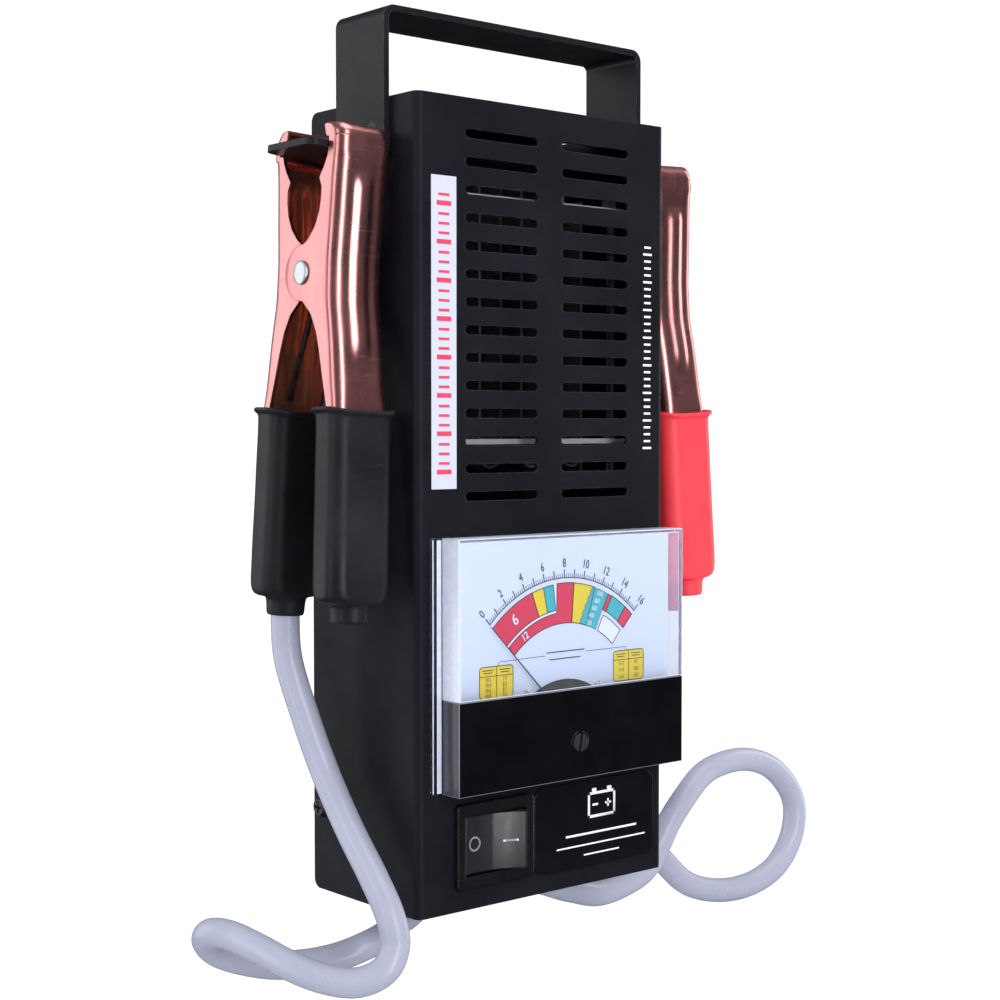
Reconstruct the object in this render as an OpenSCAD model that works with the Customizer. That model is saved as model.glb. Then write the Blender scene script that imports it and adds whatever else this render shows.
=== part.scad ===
// Battery load tester: sheet-metal case, strap handle, panel meter, rocker
// switch, internal resistance load and two parked clamps on leads.
// Units are millimetres. X is to the right, Y to the rear, Z up.
// The origin is the centre of the back panel's outer face.

/* [Case] */
// Width of the case across its side walls
case_w = 105; // [95:1:115]
// Depth of the case from front face to back face
case_d = 55; // [54:1:60]
// Height of the case without its handle
case_h = 250; // [248:1:256]
// Thickness of the folded sheet
sheet_t = 1.2; // [1.0:0.1:1.4]
// Outer radius of the folded front corners
bend_r = 2.5; // [2.0:0.1:3.0]

/* [Grille] */
// Length of one vent slot
slot_len = 29.6; // [26:0.2:30]
// Width of one vent slot
slot_w = 2.8; // [2.2:0.1:3.4]
// Height of the top slot row above the case's base
slot_top = 239.2; // [238:0.2:240]
// Distance between slot rows
slot_pitch = 8.53; // [8.2:0.01:8.6]

/* [Handle] */
// Width of the handle strip
strap_w = 25; // [24:0.5:25]
// Thickness of the handle strip
strap_t = 2; // [1.8:0.1:2.2]
// Height of the grip's top face above the case's base
strap_top = 277.7; // [270:0.1:290]
// Reach of a parking tab from the case's centre
tab_reach = 81; // [78:0.5:84]

/* [Meter] */
// Width of the meter's body
meter_w = 96.3; // [95:0.1:97]
// Height of the meter's body
meter_h = 78.2; // [78:0.1:79]
// How far the meter's face stands out of the panel
meter_out = 10; // [9.8:0.1:11]

/* [Clamps] */
// Width of a clamp jaw across its two side plates
jaw_w = 19.4; // [18.8:0.1:20]
// Thickness of the clamp sheet
jaw_t = 1.2; // [1.0:0.05:1.25]
// Outward lean of a parked clamp, in degrees
jaw_lean = 2.6; // [2.0:0.1:3.0]
// Diameter of a lead
cable_d = 9; // [8:0.1:9]

/* [Hidden] */
$fn = 32;
overlap = 0.1;                // overrun past a face, for joins and cuts
sides = [-1, 1];              // left and right
steel = [0.6, 0.6, 0.62];
copper = [0.93, 0.55, 0.45];
lug_copper = [0.8, 0.5, 0.4];
grip_black = [0.06, 0.06, 0.06];
grip_red = [0.95, 0.3, 0.33];
lead_grey = [0.62, 0.62, 0.68];

// Case fixings and openings
screw_y = 50;
screw_z = [27, 196];
screw_hole_r = 1.65;
rivet_y = [20, 32];
rivet_z = 241;
grommet_x = 25;
grommet_y = 35;

// Handle strap and parking tabs
strap_y = 26;                 // centre of the strap, from the front face
strap_x = case_w / 2 + 2.1;   // outer face of a strap leg
strap_bend_r = 4;             // outer radius of a top bend
tab_bend_r = 2;               // inner radius of the bend into a tab
tab_z = 233;                  // reference height of a parked clamp
tab_tilt = 6;                 // upward tilt of a parking tab
tab_bend_x = strap_x + tab_bend_r;
tab_bend_z = tab_z + 1.4;
tab_len = (tab_reach - tab_bend_x) / cos(tab_tilt);

// Parked clamps
clamp_x = 65.5;               // clamp centre at tab height
clamp_y = 25.15;              // mid plane of the parked clamps
pivot_drop = 37.5;            // clamp pivot below the tab
grip_out = 15.5;              // grip centre from a clamp's mid plane, at its collar
grip_drop = 79;               // grip collar below the tab

// Meter
meter_x = 3.55;               // meter centre, across
meter_bottom = 37.8;          // underside of the meter's body
meter_top = meter_bottom + meter_h;
meter_left = meter_x - meter_w / 2;
meter_right = meter_x + meter_w / 2;
meter_front = -meter_out;
mask_top = 66.6;              // top edge of the black lower cover
meter_wall = 1.2;             // wall of the meter's front parts
can_z = 68;                   // centre of the round can
stud_xz = [for (x = [-42, 42]) for (z = [meter_bottom + 7, meter_top - 7]) [meter_x + x, z]];
pivot_x = 3.35;               // needle pivot, across
pivot_z = 56.9;               // needle pivot, height
zero_x = 5;                   // zero screw, across
zero_z = 49.3;                // zero screw, height
zero_reach = norm([zero_x - pivot_x, zero_z - pivot_z]);
zero_lean = atan2(zero_x - pivot_x, pivot_z - zero_z);

// Switch
switch_x = -23;               // switch centre, across
switch_z = 20.2;              // switch centre, height

// ---------- helpers ----------
// Case frame: X from the centre, Y from the front face, Z from the base
module in_case() { translate([0, -case_d, -case_h / 2]) children(); }
// Mirrors a right-hand part to the left when side is -1
module on_side(side) { mirror([side > 0 ? 0 : 1, 0, 0]) children(); }

// Lower end of a span that starts at near and runs away from zero, on either side
function span_start(side, near, length) = side > 0 ? near : -near - length;

// Catmull-Rom spline through points, in the given number of steps a segment
function spline(points, i, t) =
  let (last = len(points) - 1,
    before = points[max(i - 1, 0)],
    start = points[i],
    end = points[min(i + 1, last)],
    after = points[min(i + 2, last)])
  0.5 * (2 * start + (end - before) * t
         + (2 * before - 5 * start + 4 * end - after) * t * t
         + (3 * start - before - 3 * end + after) * t * t * t);
function smooth(points, steps) = concat(
  [for (i = [0:len(points) - 2]) for (j = [0:steps - 1]) spline(points, i, j / steps)],
  [points[len(points) - 1]]);

function unit(vector) = vector / norm(vector);
function tangent(path, i) = unit(path[min(i + 1, len(path) - 1)] - path[max(i - 1, 0)]);
// Carries the last normal on along the path, so that the section does not twist
function carry(path, i, normals) = i >= len(path) ? normals :
  let (dir = tangent(path, i), normal = normals[i - 1])
  carry(path, i + 1, concat(normals, [unit(normal - (normal * dir) * dir)]));

// Round wire along a path, its section a polygon of the given number of edges
module wire(path, radius, edges) {
  first = tangent(path, 0);
  seed = abs(first[2]) < 0.9 ? [0, 0, 1] : [1, 0, 0];
  normals = carry(path, 1, [unit(seed - (seed * first) * first)]);
  count = len(path);
  points = [for (i = [0:count - 1])
    let (across = cross(tangent(path, i), normals[i]))
    for (j = [0:edges - 1]) let (angle = 360 * j / edges)
      path[i] + radius * (cos(angle) * normals[i] + sin(angle) * across)];
  faces = concat(
    [[for (j = [0:edges - 1]) j]],
    [for (i = [0:count - 2]) for (j = [0:edges - 1])
      [i * edges + j, (i + 1) * edges + j, (i + 1) * edges + (j + 1) % edges]],
    [for (i = [0:count - 2]) for (j = [0:edges - 1])
      [i * edges + j, (i + 1) * edges + (j + 1) % edges, i * edges + (j + 1) % edges]],
    [[for (j = [edges - 1:-1:0]) (count - 1) * edges + j]]);
  polyhedron(points, faces);
}

// Cylinders along +Y and along +X
module ycyl(x, y0, z, radius, length, fn = 32) {
  translate([x, y0, z]) rotate([-90, 0, 0]) cylinder(r = radius, h = length, $fn = fn);
}
module xcyl(x0, y, z, radius, length, fn = 32) {
  translate([x0, y, z]) rotate([0, 90, 0]) cylinder(r = radius, h = length, $fn = fn);
}
// Cylinder along X on one side, from near outwards
module side_xcyl(side, near, y, z, radius, length, fn) {
  xcyl(span_start(side, near, length), y, z, radius, length, fn);
}
module box(x0, x1, y0, y1, z0, z1) {
  translate([x0, y0, z0]) cube([x1 - x0, y1 - y0, z1 - z0]);
}
// Rounded rectangle centred on the origin
module rounded_rect(width, height, radius, fn = 32) {
  square([width, height - 2 * radius], center = true);
  square([width - 2 * radius, height], center = true);
  for (i = sides) for (j = sides)
    translate([i * (width / 2 - radius), j * (height / 2 - radius)]) circle(radius, $fn = fn);
}
// Plate standing in the XZ plane, from y0 to the rear, from a 2D shape
module face_plate(y0, thickness) {
  translate([0, y0 + thickness, 0]) rotate([90, 0, 0]) linear_extrude(thickness) children();
}

// ---------- case ----------
slot_x = [-19, 20.8];
slot_rows = 14;
side_cut = 6;                 // length of a cutter centred on a side wall
wall_corner_r = 3;            // rear corners of the side walls
label_t = 0.15;
marking_t = 0.1;
name_plate_t = 0.6;

module case_plan(width, depth, radius) {
  translate([-width / 2, radius]) square([width, depth - radius]);
  translate([-width / 2 + radius, 0]) square([width - 2 * radius, depth]);
  for (side = sides) translate([side * (width / 2 - radius), radius]) circle(radius, $fn = 40);
}

module vent_slot() {
  straight = slot_len - slot_w;
  square([straight, slot_w], center = true);
  for (side = sides) translate([side * straight / 2, 0]) circle(slot_w / 2, $fn = 20);
}

// Cutter along X, centred on x
module side_hole(x, y, z, radius) { xcyl(x - side_cut / 2, y, z, radius, side_cut, 20); }

// Front face and both side walls in one folded sheet
module front_cover() color([0.05, 0.05, 0.06]) in_case() difference() {
  linear_extrude(case_h) difference() {
    case_plan(case_w, case_d, bend_r);
    translate([0, sheet_t]) case_plan(case_w - 2 * sheet_t, case_d + 5, bend_r - sheet_t);
  }
  // front openings: vents, meter can, meter studs, switch
  face_plate(-1, 4) {
    for (x = slot_x) for (i = [0:slot_rows - 1])
      translate([x, slot_top - i * slot_pitch]) vent_slot();
    translate([meter_x, can_z]) circle(28.5, $fn = 64);
    for (stud = stud_xz) translate(stud) circle(2.2, $fn = 20);
    translate([switch_x, switch_z]) square([28.9, 22.4], center = true);
  }
  for (side = sides) {
    for (z = screw_z) side_hole(side * case_w / 2, screw_y, z, screw_hole_r);
    for (y = rivet_y) side_hole(side * case_w / 2, y, rivet_z, 2.05);
    // rounded rear corners of the side walls
    for (i = [0, 1])
      translate([side * case_w / 2 - side_cut / 2, case_d, i * case_h]) mirror([0, 0, i])
        difference() {
          translate([0, -wall_corner_r, -overlap])
            cube([side_cut, wall_corner_r + overlap, wall_corner_r + overlap]);
          xcyl(-1, -wall_corner_r, wall_corner_r, wall_corner_r, side_cut + 2, 24);
        }
  }
}

// Back with its bottom and top flanges and side ears
module rear_panel() color([0.06, 0.06, 0.065]) in_case() {
  half_w = case_w / 2 - sheet_t - 0.1;
  inner_y = case_d - sheet_t;
  flange_y = bend_r + 0.4;
  mitre_y = 33;
  mitre_w = 13;
  ear_y = 44;
  difference() {
    union() {
      box(-half_w, half_w, inner_y, case_d, 0, case_h);
      // bottom flange
      box(-half_w, half_w, flange_y, inner_y + overlap, 0, sheet_t);
      // top flange, mitred at its rear corners
      translate([0, 0, case_h - sheet_t]) linear_extrude(sheet_t)
        polygon([[-half_w, flange_y], [half_w, flange_y], [half_w, mitre_y],
          [half_w - mitre_w, inner_y + overlap], [-half_w + mitre_w, inner_y + overlap],
          [-half_w, mitre_y]]);
      // side ears
      for (side = sides) translate([span_start(side, half_w - sheet_t, sheet_t), ear_y, 6])
        cube([sheet_t, inner_y - ear_y + overlap, 216]);
    }
    for (side = sides) {
      translate([side * grommet_x, grommet_y, -1]) cylinder(r = 6.6, h = 4, $fn = 32);
      for (z = screw_z) side_hole(side * half_w, screw_y, z, screw_hole_r);
    }
  }
}

// Frame of the right parking tab: origin at its bend centre, X along the tab
module at_tab() {
  translate([tab_bend_x, strap_y, tab_bend_z]) rotate([0, -tab_tilt, 0]) children();
}

module bend_ring(outer, inner) difference() {
  circle(outer, $fn = 40);
  circle(inner, $fn = 40);
}

module strap_profile() {
  clip = 8;                   // size of the wedge that keeps part of the lower bend
  // grip bar
  translate([-strap_x + strap_bend_r, strap_top - strap_t])
    square([2 * (strap_x - strap_bend_r), strap_t]);
  for (i = [0, 1]) mirror([i, 0]) {
    // leg
    translate([strap_x - strap_t, tab_bend_z])
      square([strap_t, strap_top - strap_bend_r - tab_bend_z]);
    // top bend
    translate([strap_x - strap_bend_r, strap_top - strap_bend_r]) intersection() {
      bend_ring(strap_bend_r, strap_bend_r - strap_t);
      square([strap_bend_r + 1, strap_bend_r + 1]);
    }
    // lower bend, a quarter turn plus the tab's tilt
    translate([tab_bend_x, tab_bend_z]) intersection() {
      bend_ring(tab_bend_r + strap_t, tab_bend_r);
      polygon([[0, 0], [-clip, 0], [-clip, -clip], [0, -clip],
        [clip * sin(tab_tilt), -clip * cos(tab_tilt)]]);
    }
    // parking tab
    translate([tab_bend_x, tab_bend_z]) rotate(tab_tilt)
      translate([0, -tab_bend_r - strap_t]) square([tab_len, strap_t]);
  }
}

module handle_strap() color([0.055, 0.055, 0.06]) in_case() difference() {
  corner_r = 3;
  face_plate(strap_y - strap_w / 2, strap_w) strap_profile();
  for (y = rivet_y) xcyl(-60, y, rivet_z, 2.03, 120, 20);
  // rounded corners of the parking tabs
  for (i = [0, 1]) mirror([i, 0, 0]) at_tab() for (j = [0, 1]) mirror([0, j, 0])
    translate([tab_len - corner_r, strap_w / 2 - corner_r, -3 - strap_t]) difference() {
      cube([corner_r + 1, corner_r + 1, strap_t + 2]);
      cylinder(r = corner_r, h = strap_t + 2, $fn = 32);
    }
}

// Shanks through strap and side wall, with heads inside the case
module strap_rivets() color([0.08, 0.08, 0.085]) in_case() {
  shank_x = 50.6;
  for (side = sides) for (y = rivet_y) {
    side_xcyl(side, shank_x, y, rivet_z, 2, strap_x - shank_x, 20);
    side_xcyl(side, 49.7, y, rivet_z, 3.4, 1.5, 24);
  }
}

// Cross-slotted screws in the side walls
module case_screws() color([0.07, 0.07, 0.07]) in_case() {
  shank_x = 48.5;
  wall_x = case_w / 2;
  for (side = sides) for (z = screw_z) on_side(side) difference() {
    union() {
      xcyl(shank_x, screw_y, z, 1.6, wall_x - shank_x + overlap, 20);
      translate([wall_x, screw_y, z]) rotate([0, 90, 0])
        cylinder(r1 = 3.5, r2 = 2.6, h = 2.1, $fn = 24);
    }
    box(wall_x + 1.1, wall_x + 3, screw_y - 2, screw_y + 2, z - 0.4, z + 0.4);
    box(wall_x + 1.1, wall_x + 3, screw_y - 0.4, screw_y + 0.4, z - 2, z + 2);
  }
}

// Label up the left edge of the front face
module caution_label() color([0.86, 0.88, 0.93]) in_case()
  box(-47.2, -37.5, -label_t, 0, 130.8, 225.5);

// Narrow marking up the right edge of the front face
module side_marking() color([0.8, 0.82, 0.86]) in_case()
  box(43.6, 45.2, -marking_t, 0, 142.3, 211.6);

// Plate to the right of the switch
module name_plate() color([0.03, 0.03, 0.035]) in_case() face_plate(-name_plate_t, name_plate_t)
  translate([20.75, 20]) rounded_rect(53.5, 28.4, 4);

// [radius, height] round the edge of a grommet
grommet_profile = [[4.75, -1.6], [7.6, -1.6], [8, -0.05], [6.5, -0.05],
  [6.5, sheet_t + 0.05], [8, sheet_t + 0.05], [7.4, 3], [4.75, 3]];

module cable_grommets() color([0.05, 0.05, 0.05]) in_case() for (side = sides)
  translate([side * grommet_x, grommet_y, 0]) rotate_extrude($fn = 32) polygon(grommet_profile);

// ---------- meter ----------
can_r = 28.1;
can_depth = 30;
can_floor = 28.4;             // inside of the can's rear wall
dial_screw_x = [-12.9, 17.8];
dial_screw_z = 67.1;
magnet_y = 6;                 // front of magnet and core
magnet_depth = 12;
needle_rest = 45.3;           // needle's lean to the left at zero
needle_len = 45.4;            // needle tip from its pivot

// Frame on the needle's pivot axis, leaned to the left by an angle
module at_pivot(lean = 0) {
  in_case() translate([pivot_x, 0, pivot_z]) rotate([0, -lean, 0]) children();
}

// Front flange and the round can behind the panel
module meter_base() color([0.05, 0.05, 0.055]) in_case() difference() {
  inset = 1.4;
  union() {
    box(meter_left + inset, meter_right - inset, -3.4, 0, meter_bottom + inset, meter_top - inset);
    ycyl(meter_x, 0, can_z, can_r, can_depth, 64);
  }
  ycyl(meter_x, -4, can_z, can_r - 1.5, can_floor + 4, 64);
  for (stud = stud_xz) ycyl(stud[0], -4, stud[1], 1.55, 5, 16);
}

// Clear cover with a rim against the panel
module meter_window() color([0.85, 0.9, 0.95, 0.3]) in_case() difference() {
  union() {
    box(meter_left - 3.4, meter_right + 1, -1.8, 0, meter_bottom, meter_top);
    box(meter_left, meter_right, meter_front, -1.7, mask_top + 0.1, meter_top);
  }
  box(meter_left + meter_wall, meter_right - meter_wall, meter_front + meter_wall, 1,
    meter_bottom + meter_wall, meter_top - meter_wall);
}

// Black lower cover
module meter_mask() color([0.02, 0.02, 0.025]) in_case() difference() {
  box(meter_left, meter_right, meter_front, -1.85, meter_bottom, mask_top);
  box(meter_left + meter_wall, meter_right - meter_wall, meter_front + meter_wall, 0,
    meter_bottom + meter_wall, mask_top + 1);
  ycyl(zero_x, meter_front - 1, zero_z, 3.05, 4, 32);
}

module dial_plate() color([0.9, 0.92, 0.97]) in_case() difference() {
  inset = meter_wall + 0.1;
  box(meter_left + inset, meter_right - inset, -4, -3.5, 64.2, meter_top - inset);
  ycyl(pivot_x, -5, pivot_z, 9, 3, 32);
  for (x = dial_screw_x) ycyl(x, -5, dial_screw_z, 1.1, 3, 16);
}

module dial_screws() color([0.75, 0.76, 0.78]) in_case() for (x = dial_screw_x) difference() {
  union() {
    ycyl(x, -4.9, dial_screw_z, 1.4, 0.88, 20);
    ycyl(x, -4.1, dial_screw_z, 1, 0.6, 16);
  }
  box(x - 2, x + 2, -5.2, -4.5, dial_screw_z - 0.25, dial_screw_z + 0.25);
}

// Ring round the coil
module meter_magnet() color([0.35, 0.36, 0.38]) at_pivot() difference() {
  ycyl(0, magnet_y, 0, 14, magnet_depth, 48);
  ycyl(0, magnet_y - 1, 0, 9.6, magnet_depth + 2, 48);
}

// Cylinder inside the coil, on a post from the can's floor
module meter_core() color(steel) at_pivot() {
  post_y = magnet_y + magnet_depth - overlap;
  ycyl(0, magnet_y, 0, 7, magnet_depth, 40);
  ycyl(0, post_y, 4.4, 1.3, can_floor - post_y, 16);
}

// Segment of a disc above the pivot
module cover_segment(radius) intersection() {
  translate([-0.65, -12.7]) circle(radius, $fn = 96);
  translate([-33.35, 7.4]) square([60, 10]);
}

module meter_bridge() color([0.06, 0.06, 0.07]) at_pivot() {
  foot_x = 11.4;
  foot_half = 1.2;
  // arched plate in front of the needle
  face_plate(-7.2, 1) intersection() {
    translate([0, -17.5]) circle(25.9, $fn = 72);
    translate([-16, -6.9]) square([32, 20]);
  }
  // low stepped cover lying on the scale, with arms down to the feet
  face_plate(-4.6, 0.55) {
    cover_segment(26);
    for (side = sides) translate([side * foot_x - foot_half, 0]) square([2 * foot_half, 8.1]);
  }
  face_plate(-4.95, 0.36) cover_segment(25.3);
  // front boss
  ycyl(0, -8, 0, 1.5, 1, 16);
  for (side = sides) {
    // foot and its pad
    box(side * foot_x - foot_half, side * foot_x + foot_half, -6.3, 6, -4, 4);
    box(side * 13.3 - 3.1, side * 13.3 + 3.1, 4, 6, -3.5, 3.5);
    // post back to the floor of the can
    ycyl(side * 14.9, 4, 0, 0.85, can_floor - 4, 12);
  }
  // rear bearing post
  ycyl(0, 22.9, 0, 2, can_floor - 22.9, 20);
}

// Studs with a washer and a nut behind the panel
module meter_studs() color([0.7, 0.7, 0.7]) in_case() for (stud = stud_xz) {
  ycyl(stud[0], -1.6, stud[1], 1.5, 12, 16);
  ycyl(stud[0], sheet_t, stud[1], 3.4, 0.7, 24);
  ycyl(stud[0], sheet_t + 0.65, stud[1], 3, 2.4, 6);
}

// Blade with its tail, hub and tail weight
module needle() color([0.05, 0.05, 0.06]) at_pivot(needle_rest) {
  face_plate(-5.6, 0.4) polygon([[-0.45, 0], [-0.12, needle_len], [0.12, needle_len],
    [0.45, 0], [0.7, -9], [-0.7, -9]]);
  ycyl(0, -5.9, 0, 2, 1.2, 24);
  ycyl(0, -5.7, -8, 1.2, 0.6, 16);
}

// Rectangular frame with a short shaft at each end
module moving_coil() color([0.72, 0.42, 0.24]) at_pivot(needle_rest) {
  difference() {
    box(-8.9, 8.9, 3.4, 20.6, -1, 1);
    box(-7.6, 7.6, 4.6, 19.4, -2, 2);
  }
  ycyl(0, -4.7, 0, 0.5, 8.2, 12);
  ycyl(0, 20.5, 0, 0.5, 2.3, 12);
}

// Three-turn spiral, growing outwards
module hairspring() color([0.8, 0.7, 0.4]) at_pivot(needle_rest)
  wire([for (i = [0:54]) let (angle = i * 20, radius = 1.3 + i * 0.075)
    [radius * cos(angle), 1.6, radius * sin(angle)]], 0.14, 4);

module zero_screw() color([0.06, 0.06, 0.065]) in_case() {
  difference() {
    ycyl(zero_x, meter_front - 0.5, zero_z, 3, 1.9, 32);
    translate([zero_x, meter_front - 1, zero_z]) rotate([0, 10, 0])
      box(-0.45, 0.45, 0, 1.2, -4, 4);
  }
  // eccentric pin, on the side towards the pivot
  translate([zero_x, 0, zero_z]) rotate([0, -zero_lean, 0])
    ycyl(0, meter_front + 1.3, 1, 0.5, 1.3, 12);
}

// Lever from the bridge's boss to the screw's pin, forked at its lower end
module zero_arm() color([0.7, 0.55, 0.3]) at_pivot(zero_lean) difference() {
  face_plate(-7.9, 0.4) union() {
    circle(2.8, $fn = 24);
    translate([-1.7, -zero_reach - 0.4]) square([3.4, zero_reach + 0.4]);
  }
  ycyl(0, -9, 0, 1.56, 2, 24);
  box(-0.75, 0.75, -9, -7, -zero_reach - 1, -zero_reach + 2.3);
}

// ---------- switch ----------
terminal_x = [-7.5, 0, 7.5];
rocker_y = 2.6;               // rocker's turning axis behind the front face
rocker_r = 12.2;
rocker_w = 18.3;              // height of the rocker along its axis
rocker_tilt = 12.5;

module at_switch() { in_case() translate([switch_x, 0, switch_z]) children(); }
module at_rocker() { at_switch() translate([0, rocker_y, 0]) rotate(-rocker_tilt) children(); }

// Bezel and hollow body, slotted for the terminals
module switch_body() color([0.04, 0.04, 0.045]) at_switch() difference() {
  union() {
    face_plate(-2, 2) rounded_rect(31, 26.4, 1.5, 20);
    box(-14.2, 14.2, -overlap, 22, -11, 11);
  }
  box(-12.5, 12.5, -3, 13.5, -9.4, 9.4);
  for (x = terminal_x) box(x - 0.45, x + 0.45, 13, 23, -3.2, 3.2);
}

// Blades with an eye at the rear and a contact pad in front
module switch_terminals() color([0.8, 0.78, 0.7]) at_switch() for (x = terminal_x) difference() {
  union() {
    box(x - 0.4, x + 0.4, 12.7, 30, -3.15, 3.15);
    box(x - 2, x + 2, 12.6, 13.4, -3, 3);
  }
  xcyl(x - 2, 27, 0, 0.9, 4, 12);
}

module rocker() color([0.09, 0.09, 0.1]) at_rocker() {
  half_w = 14;
  crest = 3.6;
  edge = crest + half_w * tan(rocker_tilt);
  translate([0, 0, -rocker_w / 2]) linear_extrude(rocker_w) intersection() {
    circle(rocker_r, $fn = 64);
    polygon([[-half_w, -edge], [0, -crest], [half_w, -edge], [half_w, 0],
      [6, 3.4], [-6, 3.4], [-half_w, 0]]);
  }
  // pressing nose
  translate([-1.5, 3, -2.75]) cube([3, 2.4, 5.5]);
}

module rocker_plunger() color([0.85, 0.85, 0.82]) at_rocker() {
  ycyl(0, 5.4, 0, 1.2, 2.6, 16);
  ycyl(0, 7.6, 0, 0.8, 0.9, 16);
}

// ---------- resistance load ----------
board_top = 222;              // centre heights of the two boards
board_low = 145;
strip_t = 0.8;                // thickness of the load strip
run_pitch = 9;
run_x = [for (i = [0:8]) -36 + run_pitch * i];
turn_out = 4;                 // straight part of a run beyond a board's centre
rod_x = 42;
rod_y = [14, 40];
rod_xy = [for (y = rod_y) for (x = [-rod_x, rod_x]) [x, y]];
rod_low = board_low - 12;     // lower end of the rods and of the strip's tails

module insulator_boards() color([0.9, 0.9, 0.88]) in_case()
  for (z = [board_low, board_top]) difference() {
    box(-46, 46, 10, 44, z - 0.8, z + 0.8);
    for (x = run_x) box(x - 0.9, x + 0.9, 22, 34, z - 2, z + 2);
    for (rod = rod_xy) translate([rod[0], rod[1], z - 2]) cylinder(r = 2.1, h = 4, $fn = 20);
  }

// Strip folded up and down between the boards
module load_element() color([0.5, 0.5, 0.5]) in_case() face_plate(23, 10) {
  turn_r = run_pitch / 2;
  for (x = run_x) translate([x - strip_t / 2, board_low - turn_out])
    square([strip_t, board_top - board_low + 2 * turn_out]);
  // half-round turns, alternately at the top and the bottom
  for (i = [0:7]) let (top = i % 2 == 0)
    translate([run_x[i] + turn_r, top ? board_top + turn_out : board_low - turn_out])
      intersection() {
        difference() {
          circle(turn_r + strip_t / 2, $fn = 28);
          circle(turn_r - strip_t / 2, $fn = 28);
        }
        translate([-6, top ? 0 : -6]) square([12, 6]);
      }
  // end tails
  for (x = [run_x[0], run_x[8]]) translate([x - strip_t / 2, rod_low]) square([strip_t, 9]);
}

module tie_rods() color(steel) in_case() for (rod = rod_xy)
  translate([rod[0], rod[1], rod_low]) cylinder(r = 2, h = board_top - board_low + 20, $fn = 16);

// A nut above and below each board, on each rod
module tie_nuts() color([0.55, 0.55, 0.57]) in_case() for (rod = rod_xy)
  for (board = [board_low, board_top]) for (offset_z = [0.8, -4])
    translate([rod[0], rod[1], board + offset_z]) difference() {
      cylinder(r = 4, h = 3.2, $fn = 6);
      translate([0, 0, -1]) cylinder(r = 2.02, h = 6, $fn = 16);
    }

// Angle brackets from the rear panel under the lower board
module load_brackets() color(steel) in_case() {
  bracket_t = 1.2;
  half_w = 5;
  back = case_d - sheet_t - 0.05;
  top = board_low - 5.2;
  for (side = sides) let (x = side * rod_x) difference() {
    union() {
      box(x - half_w, x + half_w, 9, back, top - bracket_t, top);
      box(x - half_w, x + half_w, back - bracket_t, back, board_low - 25, top);
    }
    for (y = rod_y) translate([x, y, board_low - 8]) cylinder(r = 2.05, h = 4, $fn = 16);
  }
}

// Stations [x, y, z] of the wires inside the case
thick_wires = [
  [[-25, 35, 12.5], [-27, 38, 17], [-30.4, 37, 22], [-30.5, 33.4, 21.2]],
  [[-23, 32.4, 21], [-27, 41, 34], [-44, 45, 80], [-43, 46, 120], [-37.6, 29, 130]],
  [[25, 35, 12.5], [30, 40, 34], [44, 45, 80], [43, 46, 120], [37.6, 29, 130]]];
thin_wires = [
  [[-15.5, 31.8, 20.2], [-12, 37, 28], [-8, 38, 45], [-4, 34, 56], [-4, 30.8, 60]],
  [[25, 35.5, 13.5], [22, 43, 22], [12, 42, 45], [8, 36, 56], [8, 30.8, 60]]];

module internal_leads() color([0.55, 0.12, 0.12]) in_case() {
  for (stations = thick_wires) wire(smooth(stations, 6), 1.6, 8);
  for (stations = thin_wires) wire(smooth(stations, 5), 0.9, 8);
}

// ---------- leads ----------
// Centre of a lead inside the rear grip, at a distance down the leaning clamp;
// the lead drifts to the rear with the splayed grip
lead_drift = 0.0262;
function lead_point(side, drop) = [
  side * (clamp_x + drop * sin(jaw_lean)),
  clamp_y + grip_out + (drop - grip_drop) * lead_drift,
  tab_z - drop * cos(jaw_lean)];
function lead_start(side) = [for (drop = [123.5, 134, 142]) lead_point(side, drop)];

// Stations [x, y, z] of each lead, from its grip to its grommet
black_way = concat(lead_start(-1), [
  [-70.4, 43, 77], [-66.8, 39.2, 59.3], [-63.5, 33.2, 42.1], [-62.9, 21.3, 26.4],
  [-62.6, 9.4, 13.7], [-62.6, 0.9, 3.5], [-62, -1, -5.3], [-66, -1.1, -12],
  [-72.5, 3.6, -15.6], [-78.9, 11.6, -15.1], [-84.9, 21.2, -12.1], [-89.7, 31.3, -8.2],
  [-93.9, 40.4, -5.4], [-95.9, 48.2, -6], [-94.2, 53.7, -10], [-89.7, 54.9, -14.6],
  [-84.1, 50.5, -17.2], [-76.8, 43.5, -18.6], [-68.5, 37.4, -18.4], [-60, 33.2, -17.2],
  [-52.3, 30.4, -15.1], [-43.6, 29.4, -12.5], [-36.4, 31, -9.5], [-31.3, 32.7, -8.6],
  [-28, 33.9, -7.4], [-25.8, 34.7, -5.1], [-25, 35, -2], [-25, 35, 3], [-25, 35, 9.5]]);
red_way = concat(lead_start(1), [
  [74.3, 43.9, 77], [79, 44.5, 55], [83, 45, 32], [87, 45.5, 12],
  [93.5, 46.5, -5.2], [100.2, 45.4, -14.4], [110.3, 42.7, -23.8], [124, 39.4, -27.9],
  [138.9, 36.9, -27.4], [152, 35.6, -22.4], [161.1, 35.6, -12.7], [163.6, 35.8, -0.7],
  [159.5, 36.6, 8.9], [149.9, 37.7, 17.3], [137.1, 38.7, 21.2], [122.7, 38.6, 20.9],
  [112.1, 38, 17.9], [101.6, 36.7, 11.1], [93.3, 36.3, 3.3], [86.4, 36, -5.7],
  [79.2, 35.3, -12.2], [67.5, 34.7, -15.6], [54.8, 34.5, -16.5], [43.4, 34.8, -13.4],
  [37, 35, -11.2], [31.6, 35, -9], [28.2, 35, -7.6], [25.9, 35, -5.2],
  [25, 35, -2], [25, 35, 3], [25, 35, 9.5]]);

module cable_black() color(lead_grey) in_case() wire(smooth(black_way, 4), cable_d / 2, 12);
module cable_red() color(lead_grey) in_case() wire(smooth(red_way, 4), cable_d / 2, 12);

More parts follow.
